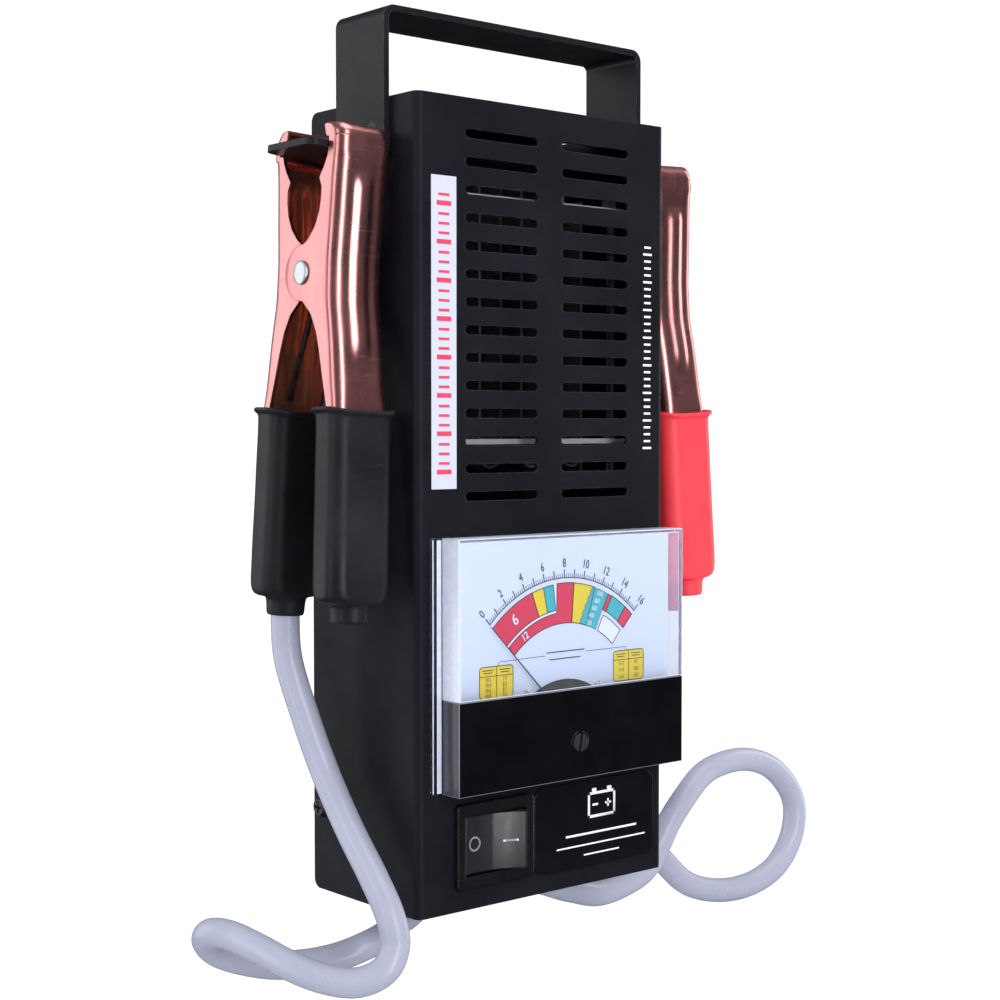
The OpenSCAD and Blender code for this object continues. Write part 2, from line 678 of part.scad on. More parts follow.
// ---------- clamps ----------
// Each clamp has a rear half (facing = 1) and a front half (facing = -1).
// Outlines in [out, drop]: out from the clamp's mid plane, drop down from the tab.
back_line = [[12, -6.6], [15.6, -6.4], [17.3, -4.6], [17.8, 2], [17.1, 10], [16.6, 20],
  [15.7, 34], [16, 46], [17.6, 55], [18.5, 61], [19.6, 70], [20.7, 78], [21, 122]];
inner_line = [[15.6, 122], [15.6, 82], [15, 77.3], [12.6, 69], [10.7, 62], [8.6, 55.5],
  [5.4, 49.9], [0.3, 46.2], [0.3, 29.2], [3, 27.5], [6.2, 24], [8.2, 19.8], [9, 15.5],
  [9, 12.4], [7.7, 9.6], [10, 6.5], [11.5, 3.5], [12, 1.5], [10.3, -3.3], [9.8, -5.9]];
web_top = -5.2;               // drop at which the hollow of a jaw begins
ear_r = 8.5;                  // round ear at the clamp's pivot
grip_splay = 1.5;             // lean of a grip away from the mid plane, in degrees
coil_r = 4.3;

// Lays an outline along Y and down Z, extruded across X
module across_jaw(facing, width) {
  multmatrix([[0, 0, 1, -width / 2], [facing, 0, 0, 0], [0, -1, 0, 0], [0, 0, 0, 1]])
    linear_extrude(width) children();
}
// Frame of a parked clamp: origin at the tab, Z along the clamp
module parked(side) {
  in_case() translate([side * clamp_x, clamp_y, tab_z]) rotate([0, -side * jaw_lean, 0])
    children();
}
// Frame of a grip, with its collar at the origin
module at_grip(facing) {
  translate([0, facing * grip_out, -grip_drop]) rotate([facing * grip_splay, 0, 0]) children();
}
// Space around a parking tab that a jaw must leave free
module tab_room(side) in_case() on_side(side) at_tab()
  translate([-4, -strap_w / 2 - 0.4, -tab_bend_r - strap_t - 0.3])
    cube([34, strap_w + 0.8, strap_t + 1.6]);

// Jaw and handle of one half, folded as a channel open to the mid plane
module channel(facing) difference() {
  across_jaw(facing, jaw_w) polygon(concat(back_line, inner_line));
  // corners eased where the grip goes on
  at_grip(facing) translate([0, 0, -46]) linear_extrude(46.7) difference() {
    square([24, 20], center = true);
    rounded_rect(jaw_w + 0.1, 10.8, 3.4, 24);
  }
  across_jaw(facing, jaw_w - 2 * jaw_t) polygon(concat([[-30, web_top]],
    [for (point = back_line) [point[0] - jaw_t, max(point[1], web_top)]],
    [[21.5, 130], [-30, 130]]));
}

// Lip across the channel below the tab
module lip(facing) {
  translate([-jaw_w / 2 + 0.6, span_start(facing, 13.8, 1.2), -3.1]) cube([jaw_w - 1.2, 1.2, 1.8]);
}

// Parks a half, drills its pivot hole and clears the tab
module parked_half(side) difference() {
  parked(side) difference() {
    union() children();
    xcyl(-15, 0, -pivot_drop, 2.45, 30, 24);
  }
  tab_room(side);
}

module front_half(side) parked_half(side) {
  channel(-1);
  lip(-1);
  for (i = sides) side_xcyl(i, jaw_w / 2 - jaw_t, 0, -pivot_drop, ear_r, jaw_t, 40);
}

// The rear half's ears are stepped inwards, inside those of the front half
module rear_half(side) parked_half(side) {
  ear_x = jaw_w / 2 - 2 * jaw_t - 0.1;
  difference() {
    channel(1);
    for (i = sides) side_xcyl(i, jaw_w / 2 - jaw_t - 1, 0, -pivot_drop, 9.4, jaw_t + 2, 40);
  }
  lip(1);
  for (i = sides) on_side(i) {
    xcyl(ear_x, 0, -pivot_drop, ear_r, jaw_t, 40);
    box(ear_x, ear_x + jaw_t, 0, 11.8, -pivot_drop - 5, -pivot_drop + 5);
    box(ear_x, jaw_w / 2 - 0.2, 9.5, 11.8, -pivot_drop - 4.5, -pivot_drop + 4.5);
  }
}

module rivet(side) parked(side) {
  xcyl(-jaw_w / 2 - 0.1, 0, -pivot_drop, 2.4, jaw_w + 0.2, 24);
  for (i = sides) translate([i * (jaw_w / 2 + 0.06), 0, -pivot_drop]) rotate([0, i * 90, 0])
    cylinder(r1 = 3.7, r2 = 3.3, h = 0.9, $fn = 32);
}

// Coil round the rivet, with a leg down into each handle
module torsion_spring(side) parked(side)
  wire(concat([[-0.4, 18.1, -75.5], [-0.4, 10.2, -55]],
    [for (i = [0:52]) let (angle = 20 - i * 25)
      [-0.4 + i * 0.1269, coil_r * cos(angle), -pivot_drop - coil_r * sin(angle)]],
    [[6.2, -10.2, -55], [6.2, -18.1, -75.5]]), 0.85, 6);

// Sleeve with a collar on top and a nose below, bored if it takes a lead
module grip_body(side, facing, lead) parked(side) at_grip(facing) difference() {
  union() {
    translate([0, 0, -57]) linear_extrude(57) rounded_rect(22.2, 14.4, 5, 28);
    translate([0, 0, -1.1]) linear_extrude(1.6) rounded_rect(25, 17.2, 6.4, 28);
    translate([0, 0, -63]) cylinder(r1 = 5.7, r2 = 6.2, h = 6.1, $fn = 32);
  }
  translate([0, 0, -44.5]) linear_extrude(50) rounded_rect(jaw_w + 0.4, 11, 3.5, 24);
  if (lead) translate([0, 0, -70]) cylinder(r = 4.7, h = 30, $fn = 28);
}

// Barrel on the lead's end, with a flat tongue above it
module lug(side) parked(side) at_grip(1) {
  translate([0, 0, -42]) cylinder(r = 2.9, h = 17, $fn = 24);
  translate([-4, 0, -26]) cube([8, 2.2, 12]);
}

module black_rear_jaw() color(copper) rear_half(-1);
module black_front_jaw() color(copper) front_half(-1);
module black_rivet() color([0.8, 0.8, 0.8]) rivet(-1);
module black_spring() color([0.3, 0.3, 0.32]) torsion_spring(-1);
module black_rear_grip() color(grip_black) grip_body(-1, 1, true);
module black_front_grip() color(grip_black) grip_body(-1, -1, false);
module black_lug() color(lug_copper) lug(-1);
module red_rear_jaw() color(copper) rear_half(1);
module red_front_jaw() color(copper) front_half(1);
module red_rivet() color([0.8, 0.8, 0.8]) rivet(1);
module red_spring() color([0.3, 0.3, 0.32]) torsion_spring(1);
module red_rear_grip() color(grip_red) grip_body(1, 1, true);
module red_front_grip() color(grip_red) grip_body(1, -1, false);
module red_lug() color(lug_copper) lug(1);

// ---------- draw ----------
front_cover();
rear_panel();
handle_strap();
strap_rivets();
case_screws();
caution_label();
side_marking();
name_plate();
cable_grommets();
meter_base();
meter_window();
meter_mask();
dial_plate();
dial_screws();
meter_magnet();
meter_core();
meter_bridge();
meter_studs();
needle();
moving_coil();
hairspring();
zero_screw();
zero_arm();
switch_body();
switch_terminals();
rocker();
rocker_plunger();
insulator_boards();
load_element();
tie_rods();
tie_nuts();
load_brackets();
internal_leads();
cable_black();
cable_red();
black_rear_jaw();
black_front_jaw();
black_rivet();
black_spring();
black_rear_grip();
black_front_grip();
black_lug();
red_rear_jaw();
red_front_jaw();
red_rivet();
red_spring();
red_rear_grip();
red_front_grip();
red_lug();
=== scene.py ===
"""Battery load tester: a black case with a dial meter, a rocker switch and two clamps.

Lengths are in millimetres unless a name or comment says otherwise: X runs to the right from
the case's centre, Y to the rear from its front face, Z up from its base. The black clamp is
parked on the left side (-X) and the red one on the right.
"""
import math
from itertools import product

import bmesh
import bpy
import numpy as np
from mathutils import Matrix, Vector


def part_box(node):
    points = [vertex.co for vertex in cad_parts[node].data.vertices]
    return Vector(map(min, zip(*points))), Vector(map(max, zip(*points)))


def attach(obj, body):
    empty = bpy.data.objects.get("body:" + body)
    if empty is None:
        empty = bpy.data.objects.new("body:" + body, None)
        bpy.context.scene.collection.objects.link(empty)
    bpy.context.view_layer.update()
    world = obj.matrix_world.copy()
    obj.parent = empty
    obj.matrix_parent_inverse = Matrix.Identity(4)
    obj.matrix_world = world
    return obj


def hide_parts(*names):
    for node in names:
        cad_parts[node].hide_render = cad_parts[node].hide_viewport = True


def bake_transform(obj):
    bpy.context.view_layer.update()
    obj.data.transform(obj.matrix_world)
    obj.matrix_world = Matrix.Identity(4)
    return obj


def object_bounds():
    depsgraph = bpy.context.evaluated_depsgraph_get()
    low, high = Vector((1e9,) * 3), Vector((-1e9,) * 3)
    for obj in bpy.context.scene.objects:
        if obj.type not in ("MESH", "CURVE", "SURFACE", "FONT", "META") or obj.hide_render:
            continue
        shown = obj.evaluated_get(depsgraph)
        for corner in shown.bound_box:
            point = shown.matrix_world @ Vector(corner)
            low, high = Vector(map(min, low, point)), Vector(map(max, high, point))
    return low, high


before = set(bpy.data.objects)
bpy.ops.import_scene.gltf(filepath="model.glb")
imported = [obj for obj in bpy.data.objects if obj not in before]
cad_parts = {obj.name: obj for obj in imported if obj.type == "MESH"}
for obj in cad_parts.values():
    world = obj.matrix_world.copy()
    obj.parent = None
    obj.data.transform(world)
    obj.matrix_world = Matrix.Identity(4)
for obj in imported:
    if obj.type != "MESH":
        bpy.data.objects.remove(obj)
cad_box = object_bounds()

scene = bpy.context.scene

# ---------------------------------------------------------------- frame
case_lo, case_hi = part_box("front_cover")
CASE_X = (case_lo.x + case_hi.x) / 2
CASE_Y = case_lo.y
CASE_Z = case_lo.z


def point(x, y, z):
    """Scene position, in metres, of a point of the case frame."""
    return Vector((CASE_X + x / 1000, CASE_Y + y / 1000, CASE_Z + z / 1000))


def box_mm(piece):
    """Low and high corners of a loaded piece in the case frame."""
    return [((v.x - CASE_X) * 1000, (v.y - CASE_Y) * 1000, (v.z - CASE_Z) * 1000)
            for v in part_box(piece)]


# ---------------------------------------------------------------- shader helpers
class Shader:
    """Builds the node tree of a material or world."""

    def __init__(self, owner):
        owner.use_nodes = True
        self.tree = owner.node_tree
        self.tree.nodes.clear()

    def add(self, kind, inputs=None, **settings):
        """Add a node. An input is a value, a socket, or a node for its first output."""
        node = self.tree.nodes.new("ShaderNode" + kind)
        for name, value in settings.items():
            setattr(node, name, value)
        for key, value in (inputs or {}).items():
            socket = node.inputs[key]
            if isinstance(value, bpy.types.Node):
                value = value.outputs[0]
            if isinstance(value, bpy.types.NodeSocket):
                self.tree.links.new(value, socket)
            elif socket.type == "RGBA":
                socket.default_value = (*value, 1)
            else:
                socket.default_value = value
        return node

    def math(self, operation, first, second, **settings):
        return self.add("Math", {0: first, 1: second}, operation=operation, **settings)

    def remap(self, value, low, high, to=(0, 1)):
        """Map low..high onto the range given by to."""
        return self.add("MapRange", {"Value": value, "From Min": low, "From Max": high,
                                     "To Min": to[0], "To Max": to[1]})

    def noise(self, coords, scale, detail=3, roughness=0.6, stretch=None):
        if stretch:
            coords = self.add("Mapping", {"Vector": coords, "Scale": stretch})
        return self.add("TexNoise", {"Vector": coords, "Scale": scale, "Detail": detail,
                                     "Roughness": roughness})

    def mix_colours(self, amount, first, second):
        # sockets 0, 6, 7 and output 2 are the colour version of the Mix node
        return self.add("Mix", {0: amount, 6: first, 7: second}, data_type="RGBA").outputs[2]

    def layer(self, below, amount, base, top):
        """Lay a top colour over the colour below; the unlinked colour is the base."""
        mixed = self.mix_colours(amount, base, top)
        self.tree.links.new(below, mixed.node.inputs[6])
        return mixed

    def mix_shaders(self, amount, first, second):
        return self.add("MixShader", {0: amount, 1: first, 2: second})


def surface(name, base, rough=0.5, rough_drift=0.08, rough_scale=180, metal=0.0, specular=0.5,
            drift=0.08, drift_scale=60, tint=None, bump=0.08, bump_scale=900,
            bump_depth=0.0004, stretch=None, edge=0.0, wear=None, scratch=0.0, dust=0.0,
            sheen=0.0, subsurface=0.0):
    """Surface with drifting colour and roughness, fine relief, rounded edges and wear.

    edge is the radius of shaded edges and bump_depth the relief, both in metres. tint
    replaces the lighter end of the colour drift. wear is (bare colour, strength).
    """
    material = bpy.data.materials.new(name)
    shader = Shader(material)
    coords = shader.add("TexCoord").outputs["Object"]

    patches = shader.noise(coords, drift_scale, detail=4, stretch=stretch)
    darker = tuple(max(0, c * (1 - drift)) for c in base)
    lighter = tint or tuple(min(1, c * (1 + drift) + drift * 0.02) for c in base)
    colour = shader.mix_colours(shader.remap(patches, 0.3, 0.7), darker, lighter)
    roughness = shader.remap(
        shader.noise(coords, rough_scale, stretch=stretch), 0.25, 0.75,
        to=(max(0.02, rough - rough_drift), min(1, rough + rough_drift)))

    rounded = None
    if edge:
        rounded = shader.add("Bevel", {"Radius": edge}, samples=6)
    if wear:
        # the rounded normal leaves the true one at edges; noise breaks the wear into chips
        bare, strength = wear
        true_normal = shader.add("NewGeometry").outputs["Normal"]
        facing = shader.add("VectorMath", {0: rounded, 1: true_normal},
                            operation="DOT_PRODUCT")
        edges = shader.remap(facing.outputs["Value"], 0.82, 0.995, to=(1, 0))
        chips = shader.noise(coords, scale=420, detail=4, roughness=0.7)
        worn = shader.math("MULTIPLY", edges, shader.remap(chips, 0.42, 0.62))
        worn = shader.math("MULTIPLY", worn, strength)
        colour = shader.layer(colour, worn, base, bare)
    if scratch:
        # noise drawn out into streaks, paler and rougher than the surface
        streaks = shader.noise(coords, scale=70, detail=6, roughness=0.75, stretch=(1, 1, 14))
        amount = shader.remap(streaks, 0.60, 0.68, to=(0, scratch))
        pale = tuple(min(1, c * 1.6 + 0.06) for c in base)
        colour = shader.layer(colour, amount, base, pale)
        roughness = shader.math("ADD", roughness, shader.remap(streaks, 0.60, 0.68, to=(0, 0.18)),
                                use_clamp=True)
    if dust:
        specks = shader.noise(coords, scale=1500, detail=5, roughness=0.8)
        amount = shader.remap(specks, 0.66, 0.74, to=(0, dust))
        colour = shader.layer(colour, amount, base, (0.75, 0.75, 0.78))

    relief = {"Strength": bump, "Distance": bump_depth,
              "Height": shader.noise(coords, bump_scale, stretch=stretch)}
    if rounded:
        relief["Normal"] = rounded
    inputs = {"Base Color": colour, "Roughness": roughness, "Metallic": metal,
              "Specular IOR Level": specular, "Sheen Weight": sheen,
              "Normal": shader.add("Bump", relief)}
    if subsurface:
        inputs.update({"Subsurface Weight": subsurface, "Subsurface Scale": 0.5,
                       "Subsurface Radius": (0.004, 0.0015, 0.001)})
    shader.add("OutputMaterial", {"Surface": shader.add("BsdfPrincipled", inputs)})
    return material


def clear_plastic(name, painted_glow=0.0):
    """Clear acrylic: refracts for the camera, lets diffuse and shadow rays through.

    The second argument is the share of pale, opaque surface mixed in: a painted glow standing in
    for light carried through the acrylic and caught at its edges.
    """
    material = bpy.data.materials.new(name)
    shader = Shader(material)
    coords = shader.add("TexCoord").outputs["Object"]
    smears = shader.noise(coords, scale=90, detail=4, roughness=0.7)
    ripples = shader.noise(coords, scale=40, roughness=0.5)
    seen = shader.add("BsdfPrincipled", {
        "Base Color": (0.94, 0.96, 1.0), "Transmission Weight": 1.0, "IOR": 1.47,
        "Roughness": shader.remap(smears, 0.45, 0.75, to=(0.01, 0.04)),
        "Normal": shader.add("Bump", {"Strength": 0.004, "Distance": 0.0002,
                                      "Height": ripples})})
    # painted glow: a pale opaque surface mixed into the clear one, standing in for light carried
    # through the acrylic
    if painted_glow:
        painted_glow_bsdf = shader.add("BsdfPrincipled", {"Base Color": (0.67, 0.71, 0.82),
                                              "Roughness": 0.18})
        share = shader.remap(shader.noise(coords, scale=260), 0.3, 0.7,
                             to=(painted_glow * 0.85, painted_glow * 1.15))
        seen = shader.mix_shaders(share, seen, painted_glow_bsdf)
    passing = shader.add("BsdfTransparent", {"Color": (0.93, 0.94, 0.97)})
    rays = shader.add("LightPath").outputs
    let_through = shader.math("MAXIMUM", rays["Is Shadow Ray"], rays["Is Diffuse Ray"])
    shader.add("OutputMaterial", {"Surface": shader.mix_shaders(let_through, seen, passing)})
    return material


# ---------------------------------------------------------------- materials
POWDER = dict(drift=0.15, drift_scale=25, bump=0.22, bump_scale=1700, bump_depth=0.00012,
              dust=0.03)
INK = dict(rough=0.45, bump=0.05)
VINYL = dict(rough_scale=45, drift_scale=40, bump_scale=500, bump_depth=0.0002)

MATERIALS = {
    # case, labels and mouldings
    "case": surface("case_powder", (0.0080, 0.0082, 0.0115), rough=0.40, rough_drift=0.06,
                    rough_scale=120, specular=0.09, edge=0.0006,
                    wear=((0.16, 0.16, 0.18), 0.30), **POWDER),
    "strap": surface("strap_powder", (0.0075, 0.0077, 0.0100), rough=0.38, rough_drift=0.07,
                     rough_scale=100, specular=0.22, edge=0.0003,
                     wear=((0.22, 0.22, 0.24), 0.45), scratch=0.10, **POWDER),
    "black_steel": surface("black_oxide", (0.02, 0.02, 0.022), rough=0.35, rough_drift=0.1,
                           metal=0.4, bump=0.15, bump_scale=600, edge=0.0003,
                           wear=((0.35, 0.35, 0.36), 0.5)),
    "label": surface("label_film", (0.56, 0.58, 0.68), rough=0.38, rough_drift=0.06,
                     drift=0.02, bump=0.05, bump_scale=500),
    "print_red": surface("label_ink_red", (0.72, 0.04, 0.10), **INK),
    "print_white": surface("plate_ink_white", (0.82, 0.83, 0.86), drift=0.05, **INK),
    "plate": surface("plate_film", (0.0035, 0.0035, 0.0050), rough=0.16, rough_drift=0.05,
                     rough_scale=60, drift=0.1, bump=0.06, bump_scale=260,
                     bump_depth=0.0001, dust=0.04),
    "rubber": surface("bushing_rubber", (0.018, 0.018, 0.02), rough=0.62, rough_drift=0.1,
                      bump=0.2, edge=0.0004, dust=0.1),
    "black_plastic": surface("black_moulding", (0.018, 0.018, 0.021), rough=0.42, bump=0.15,
                             bump_scale=1400, edge=0.0004),
    "gloss_black": surface("gloss_moulding", (0.0018, 0.0018, 0.0028), rough=0.10,
                           rough_drift=0.035, rough_scale=50, drift=0.1, bump=0.02,
                           bump_scale=120, bump_depth=0.0002, edge=0.0003, dust=0.03),
    "switch": surface("switch_moulding", (0.0055, 0.0055, 0.0070), rough=0.28,
                      rough_drift=0.06, bump=0.10, bump_scale=1500, edge=0.0008, dust=0.04),
    # Greyer black for the left side: painted reflection of the studio on that side
    "gloss_painted_reflection": surface("gloss_moulding_painted_reflection", (0.052, 0.053, 0.062), rough=0.16,
                          rough_drift=0.04, rough_scale=50, specular=0.4, drift=0.12,
                          bump=0.03, bump_scale=160, bump_depth=0.0001, edge=0.0002),
    # Paler black for the bevelled edges: painted highlight along the edges
    "gloss_painted_highlight": surface("gloss_moulding_painted_highlight", (0.17, 0.175, 0.20), rough=0.18,
                         rough_drift=0.04, rough_scale=90, drift=0.15, bump=0.03,
                         bump_scale=160),
    "rocker": surface("rocker_moulding", (0.0125, 0.0135, 0.0170), rough=0.38,
                      rough_drift=0.07, rough_scale=300, specular=1.0, bump=0.30,
                      bump_scale=2200, bump_depth=0.0001, dust=0.06),
    # dial
    "dial": surface("dial_enamel", (0.60, 0.665, 0.79), rough=0.42, rough_drift=0.05,
                    drift=0.015, drift_scale=20, bump=0.04, bump_scale=700),
    "ink_black": surface("dial_ink_black", (0.006, 0.006, 0.010), bump=0.04),
    "ink_red": surface("dial_ink_red", (0.60, 0.006, 0.055), drift=0.05, **INK),
    "ink_yellow": surface("dial_ink_yellow", (0.72, 0.54, 0.006), drift=0.05, **INK),
    "ink_teal": surface("dial_ink_teal", (0.02, 0.38, 0.43), drift=0.05, **INK),
    "ink_white": surface("dial_ink_white", (0.72, 0.76, 0.84), drift=0.03, **INK),
    # metal parts and works
    "steel": surface("plated_steel", (0.62, 0.66, 0.72), rough=0.30, metal=1.0, drift=0.06,
                     bump_scale=500, stretch=(1, 1, 6)),
    "rivet": surface("rivet_zinc", (0.72, 0.77, 0.84), rough=0.36, metal=1.0, drift=0.05,
                     bump=0.10),
    "magnet": surface("magnet_ferrite", (0.12, 0.12, 0.13), metal=0.6, bump=0.2,
                      bump_scale=800),
    "needle": surface("needle_paint", (0.02, 0.02, 0.03), rough=0.4, bump=0.05),
    "wire_copper": surface("winding_wire", (0.55, 0.22, 0.09), rough=0.3, metal=0.8,
                           bump=0.3, bump_scale=3000, stretch=(1, 8, 1)),
    "bronze": surface("spring_bronze", (0.65, 0.45, 0.2), rough=0.3, metal=1.0, bump=0.05),
    "white_plastic": surface("white_nylon", (0.78, 0.78, 0.74), rough=0.45, bump=0.05),
    "board": surface("fibre_board", (0.88, 0.88, 0.85), rough=0.7, rough_drift=0.1,
                     drift=0.06, bump=0.25, stretch=(1, 6, 1)),
    "element": surface("resistance_strip", (0.36, 0.35, 0.36), rough=0.45, rough_drift=0.12,
                       metal=0.9, drift=0.2, drift_scale=90, bump=0.15, bump_scale=700),
    "lead_red": surface("lead_insulation", (0.40, 0.03, 0.03), rough=0.45, bump=0.1),
    # cables and clamps
    "cable": surface("cable_pvc", (0.37, 0.385, 0.475), rough=0.25, rough_drift=0.06,
                     rough_scale=70, drift=0.05, drift_scale=30, bump=0.12, bump_scale=350,
                     bump_depth=0.00025, dust=0.05, sheen=0.1, subsurface=0.04),
    "copper": surface("copper_plate", (0.95, 0.375, 0.375), rough=0.29, rough_drift=0.05,
                      rough_scale=220, metal=1.0, drift=0.06, drift_scale=90,
                      tint=(0.97, 0.44, 0.42), bump_scale=1500, bump_depth=0.0001,
                      stretch=(1, 1, 0.4), scratch=0.05),
    # Inner faces of the channels: the same copper, made redder and less metallic, painted red
    # light bounced inside the channel
    "copper_painted_inner_light": surface("copper_plate_painted_inner_light", (0.98, 0.34, 0.20), rough=0.21,
                             rough_drift=0.07, rough_scale=220, metal=0.85, drift=0.12,
                             drift_scale=90, bump=0.10, bump_scale=1300,
                             bump_depth=0.00012, stretch=(1, 1, 0.35)),
    "spring": surface("spring_wire", (0.12, 0.12, 0.13), rough=0.42, rough_drift=0.12,
                      metal=0.9, drift=0.5, drift_scale=500, bump=0.4),
    "grip_black": surface("grip_vinyl_black", (0.0075, 0.0078, 0.0105), rough=0.47,
                          rough_drift=0.10, specular=0.34, drift=0.25, bump=0.20,
                          scratch=0.12, dust=0.14, sheen=0.02, **VINYL),
    "grip_red": surface("grip_vinyl_red", (0.86, 0.045, 0.062), rough=0.42, specular=0.4,
                        drift=0.06, bump=0.15, dust=0.04, subsurface=0.12, **VINYL),
    "clear": clear_plastic("clear_acrylic"),
    # Painted glow: pale surface mixed into the acrylic in place of light carried through it,
    # strong and faint
    "clear_painted_glow": clear_plastic("clear_acrylic_painted_glow", painted_glow=0.78),
    "clear_faint_painted_glow": clear_plastic("clear_acrylic_faint_painted_glow", painted_glow=0.22),
}

# Loaded pieces by material; a piece not listed is black plastic
CAD_PIECES = {
    "case": "front_cover rear_panel",
    "strap": "handle_strap",
    "black_steel": "strap_rivets case_screws",
    "label": "caution_label",
    "plate": "name_plate",
    "rubber": "cable_grommets",
    "steel": "dial_screws meter_core meter_studs switch_terminals tie_rods tie_nuts "
             "load_brackets",
    "magnet": "meter_magnet",
    "wire_copper": "moving_coil",
    "bronze": "hairspring zero_arm",
    "switch": "switch_body",
    "white_plastic": "rocker_plunger",
    "board": "insulator_boards",
    "element": "load_element",
    "lead_red": "internal_leads",
    "copper": "black_lug red_lug black_rear_jaw black_front_jaw red_rear_jaw red_front_jaw",
    "dial": "dial_plate",
    "needle": "needle",
    "gloss_black": "meter_mask meter_bridge",
    "clear": "meter_window",
    "rocker": "rocker",
    "print_white": "side_marking",
    "cable": "cable_black cable_red",
    "rivet": "black_rivet red_rivet",
    "spring": "black_spring red_spring",
    "grip_black": "black_rear_grip black_front_grip",
    "grip_red": "red_rear_grip red_front_grip",
}
material_of = {piece: key for key, pieces in CAD_PIECES.items() for piece in pieces.split()}
for piece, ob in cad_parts.items():
    material = MATERIALS[material_of.get(piece, "black_plastic")]
    if not ob.material_slots:
        ob.data.materials.append(material)
    for material_slot in ob.material_slots:
        material_slot.material = material


# ---------------------------------------------------------------- mesh helpers
# A shape is a pair: its vertices (scene metres) and its faces.

def smooth_by_angle(mesh, degrees):
    """Smooth shading, with edges sharper than the angle left hard."""
    bm = bmesh.new()
    bm.from_mesh(mesh)
    limit = math.radians(degrees)
    for face in bm.faces:
        face.smooth = True
    for edge in bm.edges:
        edge.smooth = not (len(edge.link_faces) == 2 and edge.calc_face_angle(0) > limit)
    bm.to_mesh(mesh)
    bm.free()


def add_object(name, data):
    ob = bpy.data.objects.new(name, data)
    scene.collection.objects.link(ob)
    return ob


def add_piece(name, shape, material, body, smooth=35, recalc=True, mods=(),
              replaces=(), second=None):
    """Add a shape as an object with its modifiers applied.

    The first slot holds the material of that key; second is the material for faces that
    modifiers make.
    """
    verts, faces = shape
    mesh = bpy.data.meshes.new(name)
    mesh.from_pydata([tuple(v) for v in verts], [], faces)
    mesh.validate()
    if recalc:
        bm = bmesh.new()
        bm.from_mesh(mesh)
        bmesh.ops.remove_doubles(bm, verts=bm.verts, dist=1e-7)
        bmesh.ops.recalc_face_normals(bm, faces=bm.faces)
        bm.to_mesh(mesh)
        bm.free()
    ob = add_object(name, mesh)
    mesh.materials.append(MATERIALS[material])
    if second:
        mesh.materials.append(MATERIALS[second])
    for kind, settings in mods:
        modifier = ob.modifiers.new(kind.lower(), kind)
        for key, value in settings.items():
            setattr(modifier, key, value)
    if mods:
        depsgraph = bpy.context.evaluated_depsgraph_get()
        applied = bpy.data.meshes.new_from_object(ob.evaluated_get(depsgraph))
        ob.modifiers.clear()
        ob.data = applied
        applied.name = name
    smooth_by_angle(ob.data, smooth)
    if replaces:
        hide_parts(*replaces)
    if body:
        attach(ob, body)
    return ob


def bevel(width, segments=3, angle=30, miter="MITER_ARC", **extra):
    return ("BEVEL", dict(width=width / 1000, segments=segments, limit_method="ANGLE",
                          angle_limit=math.radians(angle), miter_outer=miter, **extra))


def join(shapes):
    verts, faces = [], []
    for more_verts, more_faces in shapes:
        offset = len(verts)
        verts += more_verts
        faces += [tuple(i + offset for i in face) for face in more_faces]
    return verts, faces


def loft(rings):
    """Closed skin through rings of equal count, capped at both ends."""
    count = len(rings[0])
    verts = [v for ring in rings for v in ring]
    faces = []
    for i in range(len(rings) - 1):
        for j in range(count):
            k = (j + 1) % count
            faces.append((i * count + j, i * count + k, (i + 1) * count + k,
                          (i + 1) * count + j))
    faces.append(tuple(range(count - 1, -1, -1)))
    faces.append(tuple((len(rings) - 1) * count + j for j in range(count)))
    return verts, faces


def grid_faces(rows, columns):
    return [(i * columns + j, i * columns + j + 1, (i + 1) * columns + j + 1,
             (i + 1) * columns + j) for i in range(rows - 1) for j in range(columns - 1)]


def extrude(near, far):
    """Closed body between two matching outlines."""
    n = len(near)
    faces = [tuple(range(n)), tuple(range(2 * n - 1, n - 1, -1))]
    faces += [(i, i + n, (i + 1) % n + n, (i + 1) % n) for i in range(n)]
    return near + far, faces


def prism(outline, y0, y1):
    """Closed prism from an XZ outline between two depths."""
    return extrude([point(x, y0, z) for x, z in outline],
                   [point(x, y1, z) for x, z in outline])


def lathe(profile, place, count=40):
    """Turned shape; place takes (across, along the axis, across) and gives a vertex."""
    turns = [2 * math.pi * k / count for k in range(count)]
    return loft([[place(radius * math.cos(a), along, radius * math.sin(a)) for a in turns]
                 for radius, along in profile])


def rounded_outline(width, thickness, radius, segments):
    """Rounded rectangle about the origin."""
    radius = min(radius, width / 2 - 0.01, thickness / 2 - 0.01)
    right, top = width / 2 - radius, thickness / 2 - radius
    points = []
    for corner_x, corner_y, start in ((right, top, 0), (-right, top, 90),
                                      (-right, -top, 180), (right, -top, 270)):
        for i in range(segments + 1):
            a = math.radians(start + 90 * i / segments)
            points.append((corner_x + radius * math.cos(a), corner_y + radius * math.sin(a)))
    return points


def rounded_box(x0, z0, x1, z1, radius=1.2, segments=4):
    return [((x0 + x1) / 2 + x, (z0 + z1) / 2 + z)
            for x, z in rounded_outline(x1 - x0, z1 - z0, radius, segments)]


def spline(points, steps):
    """Catmull-Rom curve through the points."""
    points = np.array(points, float)
    last = len(points) - 1
    curve = []
    for i in range(last):
        a, b, c, d = (points[k] for k in (max(i - 1, 0), i, i + 1, min(i + 2, last)))
        for j in range(steps):
            t = j / steps
            curve.append(0.5 * (2 * b + (c - a) * t + (2 * a - 5 * b + 4 * c - d) * t * t
                                + (3 * b - a - 3 * c + d) * t ** 3))
    curve.append(points[-1])
    return np.array(curve)


def unit(v):
    return v / np.linalg.norm(v)


